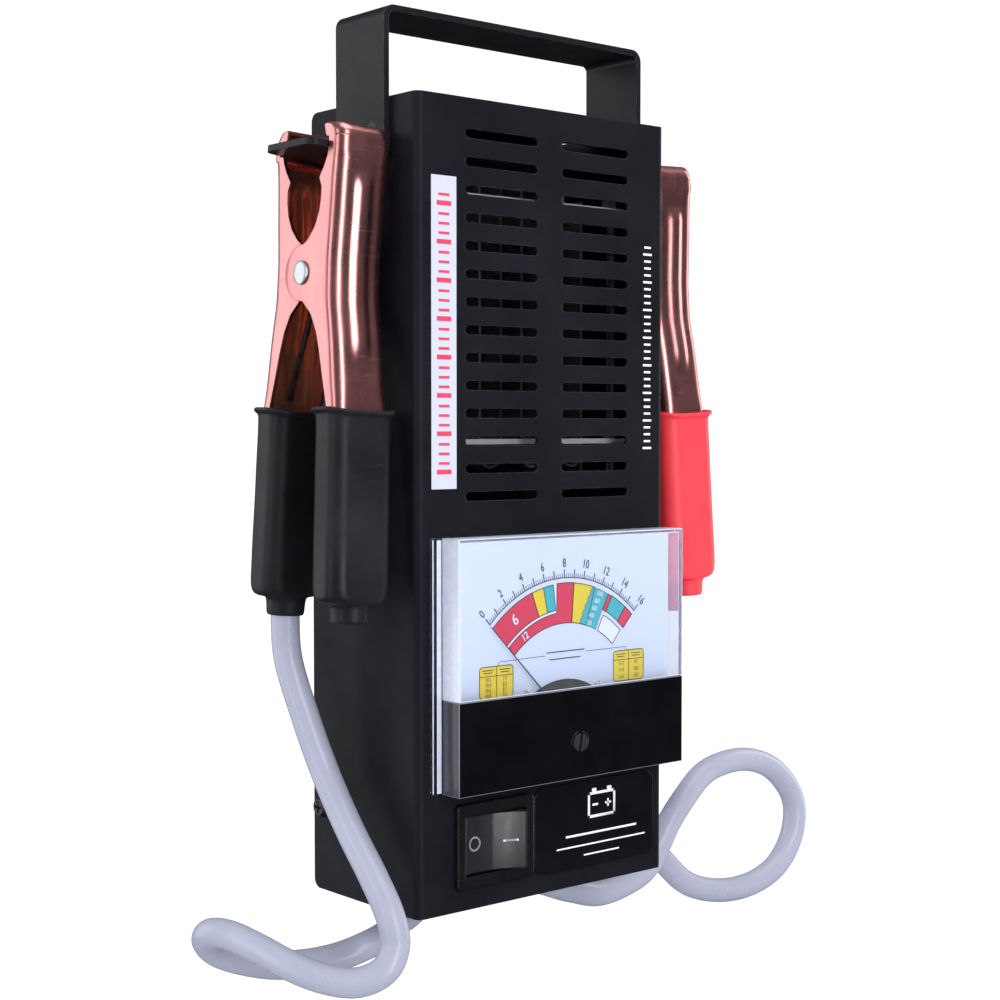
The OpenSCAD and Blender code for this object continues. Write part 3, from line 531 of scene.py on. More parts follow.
def tube(path, radius, count, place):
    """Round tube along a path; its cross frame is carried from point to point."""
    last = len(path) - 1
    tangents = [unit(path[min(i + 1, last)] - path[max(i - 1, 0)]) for i in range(last + 1)]
    seed = np.array([0, 0, 1.0]) if abs(tangents[0][2]) < 0.9 else np.array([1.0, 0, 0])
    normal = unit(seed - seed.dot(tangents[0]) * tangents[0])
    rings = []
    for centre, tangent in zip(path, tangents):
        normal = unit(normal - normal.dot(tangent) * tangent)
        side = np.cross(tangent, normal)
        ring = []
        for j in range(count):
            a = 2 * math.pi * j / count
            ring.append(place(*(centre + radius * (math.cos(a) * normal
                                                   + math.sin(a) * side))))
        rings.append(ring)
    return loft(rings)


# ---------------------------------------------------------------- meter housing
(WINDOW_LEFT, _, WINDOW_BASE), (WINDOW_RIGHT, _, WINDOW_TOP) = box_mm("meter_window")
(MASK_LEFT, METER_FRONT, MASK_BASE), (MASK_RIGHT, _, MASK_TOP) = box_mm("meter_mask")
WALL = 1.2
FLANGE_INSETS = (3.4 + WALL, WALL, 1.0 + WALL, WALL)    # left, base, right, top


def hood(back, open_z, closed_z):
    """Front, two sides and the end at closed_z; open at the back and at open_z."""
    end_wall = WALL if closed_z > open_z else -WALL
    corners = list(product((MASK_LEFT, MASK_RIGHT), (METER_FRONT, back), (open_z, closed_z)))
    corners += product((MASK_LEFT + WALL, MASK_RIGHT - WALL), (METER_FRONT + WALL, back),
                       (open_z, closed_z - end_wall))
    # corner number: 4 for right, 2 for back, 1 for the closed end, 8 for the inside
    faces = [(0, 4, 5, 1), (2, 0, 1, 3), (4, 6, 7, 5), (1, 5, 7, 3),
             (8, 9, 13, 12), (10, 11, 9, 8), (12, 13, 15, 14), (9, 11, 15, 13),
             (2, 3, 11, 10), (3, 7, 15, 11), (6, 14, 15, 7),
             (0, 8, 12, 4), (2, 10, 8, 0), (6, 4, 12, 14)]
    return [point(*corner) for corner in corners], faces


def window_flange(y0, y1):
    left, base, right, top = FLANGE_INSETS
    x0, x1, z0, z1 = WINDOW_LEFT, WINDOW_RIGHT, WINDOW_BASE, WINDOW_TOP
    outer = [(x0, z0), (x1, z0), (x1, z1), (x0, z1)]
    x0, x1, z0, z1 = x0 + left, x1 - right, z0 + base, z1 - top
    inner = [(x0, z0), (x1, z0), (x1, z1), (x0, z1)]
    verts = [point(x, y, z) for y in (y0, y1) for x, z in outer + inner]
    faces = []
    for a in range(4):
        b = (a + 1) % 4
        faces += [(a, b, b + 4, a + 4), (a + 8, a + 12, b + 12, b + 8),
                  (a, a + 8, b + 8, b), (a + 4, b + 4, b + 12, a + 12)]
    return verts, faces


# The cover's bevels take the strong painted glow: painted highlights along its edges
window = add_piece("meter_clear_cover", hood(-1.75, MASK_TOP + 0.12, WINDOW_TOP), "clear",
                   "case", second="clear_painted_glow", mods=[bevel(0.3, material=1)], smooth=30,
                   replaces=("meter_window",))
add_piece("meter_clear_flange", window_flange(-1.7, -0.02), "clear", "case",
          mods=[bevel(0.4)], smooth=30)

# Pale strips along the left of the flange, painted glow of light refracted in the acrylic: left
# and right offsets, front, back
FLANGE_GLOW_STRIPS = ((1.45, 3.15, -1.86, -1.68), (0.02, 0.34, -1.60, -1.35))
for i, (left, right, front, back) in enumerate(FLANGE_GLOW_STRIPS):
    x0, x1 = WINDOW_LEFT + left, WINDOW_LEFT + right
    z0, z1 = WINDOW_BASE + 0.5, WINDOW_TOP - 0.6
    add_piece(f"meter_flange_glow_strip_{i}", prism([(x0, z0), (x1, z0), (x1, z1), (x0, z1)], front,
                                             back),
              "clear_painted_glow", "case", mods=[bevel(0.06, 2)], smooth=30)

# Flat walls: painted glow of light in the acrylic, faint on the right one, as strong on the left
# and top ones as on the edges
window.data.materials.append(MATERIALS["clear_faint_painted_glow"])
window.data.materials.append(MATERIALS["clear_painted_glow"])
edge_index = len(window.data.materials) - 1
middle = point((MASK_LEFT + MASK_RIGHT) / 2, 0, 0).x
for face in window.data.polygons:
    if face.material_index == 0 and (abs(face.normal.x) > 0.9 or face.normal.z > 0.9):
        on_right = face.normal.z < 0.5 and face.center.x > middle
        face.material_index = edge_index - 1 if on_right else edge_index

# The bevel faces take the paler black, a painted highlight along the cover's edges
cover = add_piece("meter_lower_cover", hood(-1.85, MASK_TOP, MASK_BASE), "gloss_black", "case",
                  second="gloss_painted_highlight", mods=[bevel(0.22, material=1)], smooth=30,
                  replaces=("meter_mask",))
# The left side faces take the greyer black, a painted reflection of the studio
cover.data.materials.append(MATERIALS["gloss_painted_reflection"])
for face in cover.data.polygons:
    if face.normal.x < -0.9 and face.material_index == 0:
        face.material_index = len(cover.data.materials) - 1

# ---------------------------------------------------------------- dial
(DIAL_LEFT, DIAL_Y, DIAL_BASE), (DIAL_RIGHT, DIAL_BACK, DIAL_TOP) = box_mm("dial_plate")
NEEDLE_PIVOT = (3.35, 56.9)   # x, z

add_piece("dial_face", prism([(DIAL_LEFT, DIAL_BASE), (DIAL_RIGHT, DIAL_BASE),
                              (DIAL_RIGHT, DIAL_TOP), (DIAL_LEFT, DIAL_TOP)],
                             DIAL_Y, DIAL_BACK),
          "dial", "case", mods=[bevel(0.15, 2)], replaces=("dial_plate",))


def printed(name, outlines, material, layer, y=DIAL_Y):
    """Thin closed prisms standing on a face at depth y; higher layers stand prouder."""
    front = y - 0.03 * layer
    return add_piece(name, join(prism(outline, front - 0.02, front + 0.012)
                                for outline in outlines),
                     material, "case", smooth=20)


# Dial outlines use radii about the needle pivot and angles in degrees, 0 up, + to the right.

def polar(radius, angle):
    a = math.radians(angle)
    return (NEEDLE_PIVOT[0] + radius * math.sin(a), NEEDLE_PIVOT[1] + radius * math.cos(a))


def arc(radius, start, end, steps=14):
    return [polar(radius, start + (end - start) * k / steps) for k in range(steps + 1)]


def sector(inner, outer, start, end, steps=None):
    steps = steps or max(2, int(abs(end - start) / 2))
    return arc(outer, start, end, steps) + arc(inner, end, start, steps)


def upright(radius, x):
    """Point at a radius on the upright line at x."""
    return (x, NEEDLE_PIVOT[1] + math.sqrt(radius * radius - (x - NEEDLE_PIVOT[0]) ** 2))


def stroke(start, end, width):
    (x0, z0), (x1, z1) = start, end
    length = math.hypot(x1 - x0, z1 - z0)
    dx, dz = -(z1 - z0) / length * width / 2, (x1 - x0) / length * width / 2
    return [(x0 + dx, z0 + dz), (x1 + dx, z1 + dz), (x1 - dx, z1 - dz), (x0 - dx, z0 - dz)]


def contour(outline, width):
    """Strokes round an outline."""
    pairs = zip(outline, outline[1:] + outline[:1])
    return [stroke(a, b, width) for a, b in pairs if math.dist(a, b) > 0.02]


def volts_angle(volts):
    return (volts - 8.07) * 5.45


ticks = []
for i in range(81):           # every 0.2 V from 0 to 16 V, longer at whole volts
    angle = volts_angle(i * 0.2)
    inner, outer, width = (45.0, 47.5, 0.42) if i % 5 == 0 else (45.05, 46.3, 0.24)
    ticks.append(stroke(polar(inner, angle), polar(outer, angle), width))
ticks.append(sector(44.86, 45.16, volts_angle(0) - 0.2, volts_angle(16) + 0.2, 60))
printed("dial_scale_ticks", ticks, "ink_black", 1)

UPPER_START = -44.1           # left ends of the two long bands, degrees
LOWER_START = -43.6
red_zones = [
    arc(43.4, UPPER_START, -18.9) + arc(35.2, -18.4, UPPER_START),
    arc(34.3, LOWER_START, -6.1, 16) + [upright(43.4, -0.2)] + arc(43.4, -4.2, 5.15, 6)
    + arc(30.85, 5.4, LOWER_START, 20),
    sector(37.8, 43.2, 26.0, 28.4),
    sector(37.8, 43.5, 37.8, 43.2)]
printed("dial_zone_red", red_zones, "ink_red", 1)

yellow_zones = [arc(43.3, -18.9, -12.3, 6) + arc(35.2, -12.4, -18.4, 6),
                sector(30.9, 43.3, 5.2, 17.4)]
# The two number tables: left, base, right, top, and their rows of text
TABLES = (
    ((-32.2, 66.85, -18.6, 76.55),
     (("10.2", "7.7"), ("10.4", "8.2"), ("10.6", "8.7"), ("10.8", "9.2"))),
    ((24.8, 67.55, 38.6, 77.2),
     (("11.2", "9.7"), ("11.4", "10.2"), ("11.6", "10.7"))))
table_outlines = [rounded_box(*table) for table, _ in TABLES]
printed("dial_zone_yellow", yellow_zones + table_outlines, "ink_yellow", 1)

teal_zones = [arc(43.3, -12.3, -6.65, 6) + arc(35.2, -6.6, -12.4, 6),
              sector(37.9, 43.4, 28.4, 37.8)]
# The other teal zone's left edge steps in towards the pivot
stepped_zone = []
for i in range(5):
    radius = 43.2 - i * 2.47
    angle = 16.6 - i * 0.9
    stepped_zone += [polar(radius, angle), polar(radius - 0.9, angle - 0.9),
                     polar(radius - 1.9, angle - 1.2), polar(radius - 2.4, angle - 0.3)]
stepped_zone += arc(30.9, 12.6, 25.5, 8) + arc(43.2, 25.5, 16.6, 8)
printed("dial_zone_teal", teal_zones, "ink_teal", 1)
printed("dial_zone_steps", [stepped_zone], "ink_teal", 2)

white_box = [polar(36.2, 27.4)] + arc(36.4, 29, 42.1, 5) + arc(30.95, 42.5, 27.3, 6)
printed("dial_white_box", [white_box], "ink_white", 1)

# Pale line under the upper band, and the pale patch at its right end
keyline = [sector(34.35, 35.15, UPPER_START, -6.5, 30),
           [polar(43.5, -6.6), polar(43.5, -4.9), upright(34.4, -0.35), polar(34.4, -6.6)]]
printed("dial_keyline", keyline, "ink_white", 1)

# Fine strokes above and between the tables: start x, z, end x, z, width
TOP_STROKES = (
    (-24.5, 76.6, -24.5, 77.4, 0.16), (-24.5, 77.4, -23.9, 77.75, 0.16),
    (-23.9, 77.75, -5.3, 78.05, 0.16), (12.6, 78.25, 30.1, 78.4, 0.16),
    (30.1, 78.4, 30.6, 78.0, 0.16), (30.6, 78.0, 30.6, 77.3, 0.16),
    (-4.6, 78.9, 11.8, 79.0, 0.34), (-3.4, 76.7, 10.0, 76.8, 0.34))
strokes = []
for zone in red_zones + yellow_zones + teal_zones:
    strokes += contour(zone, 0.27)
strokes += contour(stepped_zone, 0.12) + contour(white_box, 0.26)
for ((left, base, right, top), _), outline in zip(TABLES, table_outlines):
    strokes += contour(outline, 0.26)
    middle = (left + right) / 2
    strokes += [stroke((middle, base), (middle, top), 0.22),
                stroke((left, top - 2.9), (right, top - 2.9), 0.22)]
    for k in (0, 1):          # two heading lines in each column
        x = left + 1.2 + k * (middle - left)
        strokes += [stroke((x, top - 1.1), (x + 4.3, top - 1.1), 0.28),
                    stroke((x + 0.5, top - 1.9), (x + 3.8, top - 1.9), 0.28)]
strokes += [stroke((x0, z0), (x1, z1), width) for x0, z0, x1, z1, width in TOP_STROKES]
printed("dial_outlines", strokes, "ink_black", 3)


def text_mesh(text, x, z, size, lean, bold, squeeze, layer):
    """Mesh of one text centred at (x, z), leaning clockwise by lean degrees."""
    curve = bpy.data.curves.new("text", "FONT")
    curve.body = text
    curve.size = size / 1000
    curve.align_x = "CENTER"
    curve.align_y = "CENTER"
    curve.extrude = 0.00002
    curve.offset = bold / 1000
    curve.resolution_u = 3
    ob = add_object("text", curve)
    ob.matrix_world = (Matrix.Translation(point(x, DIAL_Y - 0.03 * layer - 0.02, z))
                       @ Matrix.Rotation(math.radians(90), 4, "X")
                       @ Matrix.Rotation(math.radians(-lean), 4, "Z")
                       @ Matrix.Diagonal((squeeze, 1, 1, 1)))
    bpy.context.view_layer.update()
    depsgraph = bpy.context.evaluated_depsgraph_get()
    mesh = bpy.data.meshes.new_from_object(ob.evaluated_get(depsgraph))
    mesh.transform(ob.matrix_world)
    bpy.data.objects.remove(ob)
    return mesh


def add_texts(name, texts, material, layer):
    """Join texts (text, x, z, size, lean, bold, squeeze) into one piece."""
    bm = bmesh.new()
    for text in texts:
        mesh = text_mesh(*text, layer)
        bm.from_mesh(mesh)
        bpy.data.meshes.remove(mesh)
    mesh = bpy.data.meshes.new(name)
    bm.to_mesh(mesh)
    bm.free()
    mesh.materials.append(MATERIALS[material])
    ob = add_object(name, mesh)
    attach(ob, "case")


texts = []
for volts in range(0, 17, 2):
    angle = volts_angle(volts)
    texts.append((str(volts), *polar(49.55, angle), 3.9, angle, 0.0, 0.78))
for (left, base, right, top), rows in TABLES:
    for i, row in enumerate(rows):
        z = top - 4.0 - i * ((top - base - 3.2) / len(rows))
        for j, text in enumerate(row):
            x = left + (j * 2 + 1) * (right - left) / 4
            texts.append((text, x, z, 1.75, 0, -0.01, 0.8))
add_texts("dial_numbers", texts, "ink_black", 4)

texts = [("6", *polar(39.3, -32.5), 5.0, -32, 0.05, 0.9),
         ("12", *polar(32.55, -31.5), 3.4, -31, 0.04, 0.85)]
for i, text in enumerate(("1000", "800", "600", "400", "200")):
    texts.append((text, *polar(41.9 - i * 2.5, 21.2 - i * 0.55), 2.15, 12, 0.0, 0.72))
add_texts("dial_numbers_white", texts, "ink_white", 5)

# ---------------------------------------------------------------- domed cover on the dial
HUMP_CENTRE = (2.7, 44.2)     # x, z
HUMP_RADIUS = 26.0
HUMP_FOOT = 64.0              # z of the straight lower edge
HUMP_STEPS = 40
# share of the radius, depth y
HUMP_PROFILE = [(1.0, -4.03), (1.0, -4.42), (0.997, -4.56), (0.99, -4.68), (0.978, -4.77),
                (0.955, -4.86), (0.92, -4.92), (0.86, -4.95)]


def hump():
    centre_x, centre_z = HUMP_CENTRE
    reach = math.degrees(math.acos((64.4 - centre_z) / HUMP_RADIUS))
    verts = []
    for share, y in HUMP_PROFILE:
        for i in range(HUMP_STEPS + 1):
            a = math.radians(-reach + 2 * reach * i / HUMP_STEPS)
            verts.append(point(centre_x + HUMP_RADIUS * share * math.sin(a), y,
                               max(HUMP_FOOT, centre_z + HUMP_RADIUS * share * math.cos(a))))
    faces = grid_faces(len(HUMP_PROFILE), HUMP_STEPS + 1)
    end = len(verts)
    share, y = HUMP_PROFILE[-1]
    verts += [point(centre_x + side * 20 * share, y, HUMP_FOOT) for side in (-1, 1)]
    faces.append((end, *range(end - HUMP_STEPS - 1, end), end + 1))
    return verts, faces


add_piece("meter_hump", hump(), "gloss_black", "case", smooth=60)

# ---------------------------------------------------------------- needle
NEEDLE_Y = -5.4
NEEDLE_ANGLE = -45.3
# distance from the pivot, half width, half thickness; the first stations are the tail
NEEDLE_STATIONS = [(-9, 0.7, 0.18), (-4, 0.45, 0.2), (0, 0.40, 0.2), (20, 0.26, 0.16),
                   (38, 0.17, 0.13), (45.0, 0.12, 0.10), (45.4, 0.05, 0.05)]
# radius, depth y
HUB_PROFILE = [(0.5, -4.7), (1.9, -4.75), (2.0, -5.0), (2.0, -5.7), (1.85, -5.88), (0.6, -5.9)]
needle_turn = (Matrix.Translation(point(NEEDLE_PIVOT[0], 0, NEEDLE_PIVOT[1]))
               @ Matrix.Rotation(math.radians(NEEDLE_ANGLE), 4, "Y"))


def on_needle(x, y, z):
    return needle_turn @ Vector((x / 1000, y / 1000, z / 1000))


turns = [2 * math.pi * k / 10 for k in range(10)]
blade = loft([[on_needle(width * math.cos(a), NEEDLE_Y + thickness * math.sin(a), along)
               for a in turns] for along, width, thickness in NEEDLE_STATIONS])
add_piece("needle_blade", join([blade, lathe(HUB_PROFILE, on_needle, 24)]), "needle",
          "needle_system", replaces=("needle",))


# ---------------------------------------------------------------- slotted screws
def slotted_screw(name, x, z, front, radius, depth, slot_half, slot_depth, turn, material,
                  body, replaces=()):
    """Round head facing the front, its slot left between two raised half moons."""
    cos_turn, sin_turn = math.cos(math.radians(turn)), math.sin(math.radians(turn))

    def place(along, y, across):
        return point(x + along * cos_turn + across * sin_turn, y,
                     z - along * sin_turn + across * cos_turn)

    floor = front + slot_depth
    base = front + depth
    shapes = [lathe([(0.01, base), (radius, base), (radius, floor), (0.01, floor)], place)]
    chamfer = 0.16
    shrink = 1 - chamfer / radius
    start = math.asin(slot_half / radius)
    angles = [start + (math.pi - 2 * start) * k / 16 for k in range(17)]
    for side in (1, -1):
        moon = [(radius * math.cos(a), side * radius * math.sin(a)) for a in angles]
        top = [(u * shrink, w * shrink + side * chamfer * 0.25) for u, w in moon]
        shapes.append(loft([[place(u, y, w) for u, w in outline] for outline, y in
                            ((moon, floor + 0.01), (moon, front + chamfer), (top, front))]))
    add_piece(name, join(shapes), material, body, smooth=30, replaces=replaces)


ZERO_X, ZERO_Z = 5.0, 49.3
slotted_screw("zero_screw_head", ZERO_X, ZERO_Z, front=METER_FRONT - 0.5, radius=2.95,
              depth=1.9, slot_half=0.5, slot_depth=0.9, turn=100, material="black_plastic",
              body="zero_adjuster", replaces=("zero_screw",))
# radius, depth behind the meter's front
COLLAR_PROFILE = [(3.05, 0.3), (3.05, -0.05), (3.25, -0.22), (3.6, -0.22), (3.8, 0.02),
                  (3.8, 0.3)]
verts, faces = lathe([(radius, METER_FRONT + y) for radius, y in COLLAR_PROFILE],
                     lambda x, y, z: point(ZERO_X + x, y, ZERO_Z + z), 48)
# the last two faces are the end caps
add_piece("zero_screw_collar", (verts, faces[:-2]), "gloss_black", "case", smooth=40)
for i, x in enumerate((-12.9, 17.8)):
    slotted_screw(f"dial_screw_{i}", x, 67.1, front=-4.95, radius=1.4, depth=0.9,
                  slot_half=0.22, slot_depth=0.4, turn=30 + 50 * i, material="steel",
                  body="case", replaces=("dial_screws",) if i == 0 else ())

# ---------------------------------------------------------------- switch rocker
ROCKER_AXIS = (-23.0, 2.6, 20.2)
ROCKER_RADIUS = 12.2          # of the two ends about the axis
ROCKER_ANGLE = math.radians(12.5)
ROCKER_HALF = 10.75           # half length of the faces
ROCKER_HALF_HEIGHT = 9.15


def face_y(x):
    """Depth of the rocker's two dished faces, which meet in a shallow V."""
    sag = 0.45 * math.sin(math.pi * min(1, abs(x) / 10.8))
    return -3.6 - abs(x) * math.tan(ROCKER_ANGLE) + sag


def rock(x, y, z):
    """Point of the rocker, tilted about its upright axis."""
    axis_x, axis_y, axis_z = ROCKER_AXIS
    cos_tilt, sin_tilt = math.cos(-ROCKER_ANGLE), math.sin(-ROCKER_ANGLE)
    return point(axis_x + x * cos_tilt - y * sin_tilt, axis_y + x * sin_tilt + y * cos_tilt,
                 axis_z + z)


def rocker_solid(near, far):
    n = len(near)
    faces = [tuple(range(n)), tuple(range(2 * n - 1, n - 1, -1))]
    faces += [(i, (i + 1) % n, (i + 1) % n + n, i + n) for i in range(n)]
    return [rock(*p) for p in near + far], faces


def rocker_profile():
    """Faces, right end, back and left end, as (x, y)."""
    front = [(x, face_y(x)) for x in np.linspace(-ROCKER_HALF, ROCKER_HALF, 41)]
    start = math.atan2(face_y(ROCKER_HALF), ROCKER_HALF)
    right_end = []
    for k in range(1, 9):
        a = start + (math.radians(18) - start) * k / 8
        right_end.append((ROCKER_RADIUS * math.cos(a), ROCKER_RADIUS * math.sin(a)))
    left_end = [(-x, y) for x, y in reversed(right_end)]
    return front + right_end + [(6, 3.4), (-6, 3.4)] + left_end


profile = rocker_profile()
add_piece("rocker_key", rocker_solid([(x, y, -ROCKER_HALF_HEIGHT) for x, y in profile],
                                     [(x, y, ROCKER_HALF_HEIGHT) for x, y in profile]),
          "rocker", "rocker", mods=[bevel(0.7, 4, angle=50, miter="MITER_SHARP")], smooth=30,
          replaces=("rocker",))

# A ring printed on the left face and a dash on the right one, as (x, z) outlines
RING_X, RING_Z = -6.9, 0.2
RING_INNER, RING_OUTER = 1.75, 2.35
RING_STEPS = 36
DASH_START, DASH_STEP, DASH_HALF = 3.6, 0.8, 0.32
marks = []
for k in range(RING_STEPS):
    a, b = 2 * math.pi * k / RING_STEPS, 2 * math.pi * (k + 1) / RING_STEPS
    marks.append([(RING_X + radius * math.cos(t), RING_Z + radius * math.sin(t))
                  for radius, t in ((RING_INNER, a), (RING_INNER, b), (RING_OUTER, b),
                                    (RING_OUTER, a))])
for k in range(6):
    x0, x1 = DASH_START + DASH_STEP * k, DASH_START + DASH_STEP * (k + 1)
    marks.append([(x0, -DASH_HALF), (x1, -DASH_HALF), (x1, DASH_HALF), (x0, DASH_HALF)])
add_piece("rocker_marks", join(rocker_solid([(x, face_y(x) - 0.05, z) for x, z in mark],
                                            [(x, face_y(x) + 0.05, z) for x, z in mark])
                               for mark in marks),
          "print_white", "rocker", smooth=30)


# ---------------------------------------------------------------- printed marks on the case
def bar_column(x, start, stop, pitch, plain, major):
    """Column of bars; plain and major are (width, height), every fourth bar is major."""
    bars = []
    z = start
    while z < stop:
        width, height = plain if len(bars) % 4 else major
        bars.append([(x - width / 2, z), (x + width / 2, z), (x + width / 2, z + height),
                     (x - width / 2, z + height)])
        z += pitch
    return bars


(left, front, base), (right, _, top) = box_mm("caution_label")
printed("label_rule", bar_column((left + right) / 2, base + 4.5, top - 5, pitch=2.9,
                                 plain=(4.2, 0.825), major=(5.6, 1.43)),
        "print_red", 1, y=front)
(_, _, base), (_, _, top) = box_mm("side_marking")
side_rule = printed("side_rule", bar_column(44.6, base, top - 1, pitch=2.3,
                                            plain=(3.0, 0.7), major=(4.0, 0.7)),
                    "print_white", 1, y=0)
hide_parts("side_marking")

# Name plate: rounded film with a plain battery sign over three rules
(left, front, base), (right, back, top) = box_mm("name_plate")
add_piece("plate_film_piece", prism(rounded_box(left, base, right, top, 4, 10), front, back),
          "plate", "case", mods=[bevel(0.18)], replaces=("name_plate",))
SIGN_X = 23.5
# left and base, right and top (x from SIGN_X), corner radius
SIGN_BARS = [
    (-6.2, 21.6, 6.2, 22.5, 0.3), (-6.2, 29.2, 6.2, 30.1, 0.3),       # box: base, top
    (-6.2, 21.6, -5.3, 30.1, 0.3), (5.3, 21.6, 6.2, 30.1, 0.3),       # box: sides
    (-4.4, 30.1, -2.4, 31.3, 0.3), (2.4, 30.1, 4.4, 31.3, 0.3),       # terminals
    (-4.2, 25.5, -1.6, 26.2, 0.2),                                    # minus
    (1.6, 25.5, 4.2, 26.2, 0.2), (2.55, 24.55, 3.25, 27.15, 0.2),     # plus
    (-16, 16.4, 16, 17.1, 0.3), (-20, 12.9, 20, 13.4, 0.2), (-8, 9.6, 8, 10.1, 0.2)]
printed("plate_sign", [rounded_box(SIGN_X + x0, z0, SIGN_X + x1, z1, radius)
                       for x0, z0, x1, z1, radius in SIGN_BARS],
        "print_white", 1, y=front)

# ---------------------------------------------------------------- clamps
# A clamp has its own frame: x across it, u from its mid plane to the rear, h down from its
# tip. side is -1 for the left (black) clamp, 1 for the right (red); facing is 1 for a
# clamp's rear half, -1 for its front half.
CLAMP_X = 65.5                # tips from the case's centre
CLAMP_Y = 25.15               # mid plane of a parked clamp
CLAMP_TOP = 233.0
LEAN = 2.6                    # of the parked clamps, feet outward, degrees
PIVOT_H = 37.5
GRIP_U = 15.5                 # grip centre from the mid plane
GRIP_H = 79
GRIP_SPLAY = 1.5              # degrees
JAW_WIDTH = 19.4
JAW_THICKNESS = 1.2
# h, u of the web's outside
BACK = np.array([
    [-2.6, 17.75], [2, 17.8], [10, 17.1], [20, 16.6], [34, 15.7], [46, 16.0], [55, 17.6],
    [61, 18.5], [70, 19.6], [78, 20.7], [122, 21]])
# h, u of the flanges' free edges
INNER = np.array([
    [-5.9, 9.8], [-3.3, 10.3], [1.5, 12], [3.5, 11.5], [6.5, 10], [9.6, 7.7], [12.4, 9],
    [15.5, 9], [19.8, 8.2], [24, 6.2], [27.5, 3], [29.2, 0.3], [45.9, 0.8], [46.2, 1.0],
    [49.9, 5.4], [55.5, 8.6], [62, 10.7], [69, 12.6], [77.3, 15], [82, 15.6], [122, 15.6]])


def parked(side):
    return (Matrix.Translation(point(side * CLAMP_X, CLAMP_Y, CLAMP_TOP))
            @ Matrix.Rotation(math.radians(-side * LEAN), 4, "Y"))


def clamp_frame(side):
    turn = parked(side)
    return lambda x, u, h: turn @ Vector((x / 1000, u / 1000, -h / 1000))


def half_name(facing):
    return "rear" if facing > 0 else "front"


def half_body(colour, facing):
    return colour + ("_clamp" if facing > 0 else "_front_half")


def smooth_back(h):
    """Web line averaged over 4 mm."""
    near = h + np.array([-2, -1, 0, 1, 2.0])
    return float(np.mean(np.interp(near, BACK[:, 0], BACK[:, 1])))


def inner_edge(h, facing):
    """Flange edge; the front half has a round lobe at the pivot, the rear half clears it."""
    u = float(np.interp(h, INNER[:, 0], INNER[:, 1]))
    from_pivot = abs(h - PIVOT_H)
    if facing < 0:
        if from_pivot < 8.5:
            u = -math.sqrt(8.5 ** 2 - from_pivot ** 2)
    elif from_pivot < 8.58:
        u = max(u, math.sqrt(8.58 ** 2 - from_pivot ** 2))
    return u


def tab_height(side, x, h):
    """Height of a point above the parking tab's bend centre line, square to the tab."""
    lean = math.radians(-side * LEAN)
    case_x = side * CLAMP_X + x * math.cos(lean) + (-h) * math.sin(lean)
    case_z = CLAMP_TOP - x * math.sin(lean) + (-h) * math.cos(lean)
    tilt = math.radians(6)
    out, up = case_x * side - (54.6 + 2), case_z - (CLAMP_TOP + 1.4)
    return -out * math.sin(tilt) + up * math.cos(tilt)


def rib_height(h, x):
    """Pressed stiffening rib down the middle of the web."""
    fade = max(0.0, min(1.0, (h - 7) / 6, (66 - h) / 9))
    fade = fade * fade * (3 - 2 * fade)
    return 0.95 * fade * math.exp(-(x / 2.7) ** 4)


def jaw_stations(facing):
    """Stations down the channel: back u, back h, flange edge u, flange edge h."""
    stations = []
    for k in range(4):        # nose: the web curls over the top
        t = k / 3
        stations.append((10.3 + 3.5 * t, -6.45 - 0.12 * math.sin(math.pi * t),
                         9.75 + 0.1 * t, -5.75 + 0.25 * t))
    for k in range(1, 9):
        a = math.radians(90 - 90 * k / 8.5)
        stations.append((13.8 + 3.95 * math.cos(a), -2.6 - 3.95 * math.sin(a),
                         9.85 + 0.4 * k / 8, -5.5 + 2.0 * k / 8))
    heights = [1.5, 3.5, 6.5, 9.6, 12.4, 29.0, 29.2, 46.0, 46.2, 50.2]
    for start, stop, step in ((-2.4, 5, 0.2), (5, 27, 0.6), (27, 48.4, 0.35), (48.4, 87, 0.9)):
        heights += list(np.arange(start, stop, step))
    for h in sorted(set(round(h, 3) for h in heights)):
        stations.append((smooth_back(h), h, inner_edge(h, facing), h))
    return stations


FLANGE_STEPS, CORNER_STEPS, WEB_STEPS = 5, 7, 14


def jaw_row(side, facing, back_u, back_h, edge_u, edge_h):
    """Points (x, u, h) round the channel: left flange, web, right flange."""
    half = JAW_WIDTH / 2
    edges = []
    for x in (-half, half):
        u = edge_u
        if -4.32 < tab_height(side, x, edge_h) < -0.68 and edge_h < 6:
            u = max(u, 13.8 if facing > 0 else 12.1)   # notch for the parking tab
        edges.append(u)
    radius = min(4.2, 0.62 * max(0.05, back_u - max(edges)) + 0.2)

    def flange(flange_side, start):
        """Flange and corner, from the free edge to the web."""
        span = back_u - radius - start
        run = [(-half, start + span * k / (FLANGE_STEPS + 1)) for k in range(FLANGE_STEPS + 1)]
        for k in range(CORNER_STEPS + 1):
            a = math.pi / 2 * k / CORNER_STEPS
            run.append((-half + radius - radius * math.cos(a),
                        back_u - radius + radius * math.sin(a)))
        points = []
        for x, u in run:
            share = max(0.0, min(1.0, (u - start) / max(0.05, back_u - start)))
            points.append((-flange_side * x, u, edge_h + (back_h - edge_h) * share))
        return points

    web = []
    for k in range(1, WEB_STEPS):
        x = (-half + radius) + (JAW_WIDTH - 2 * radius) * k / WEB_STEPS
        web.append((x, back_u + rib_height(back_h, x), back_h))
    return flange(-1, edges[0]) + web + flange(1, edges[1])[::-1]


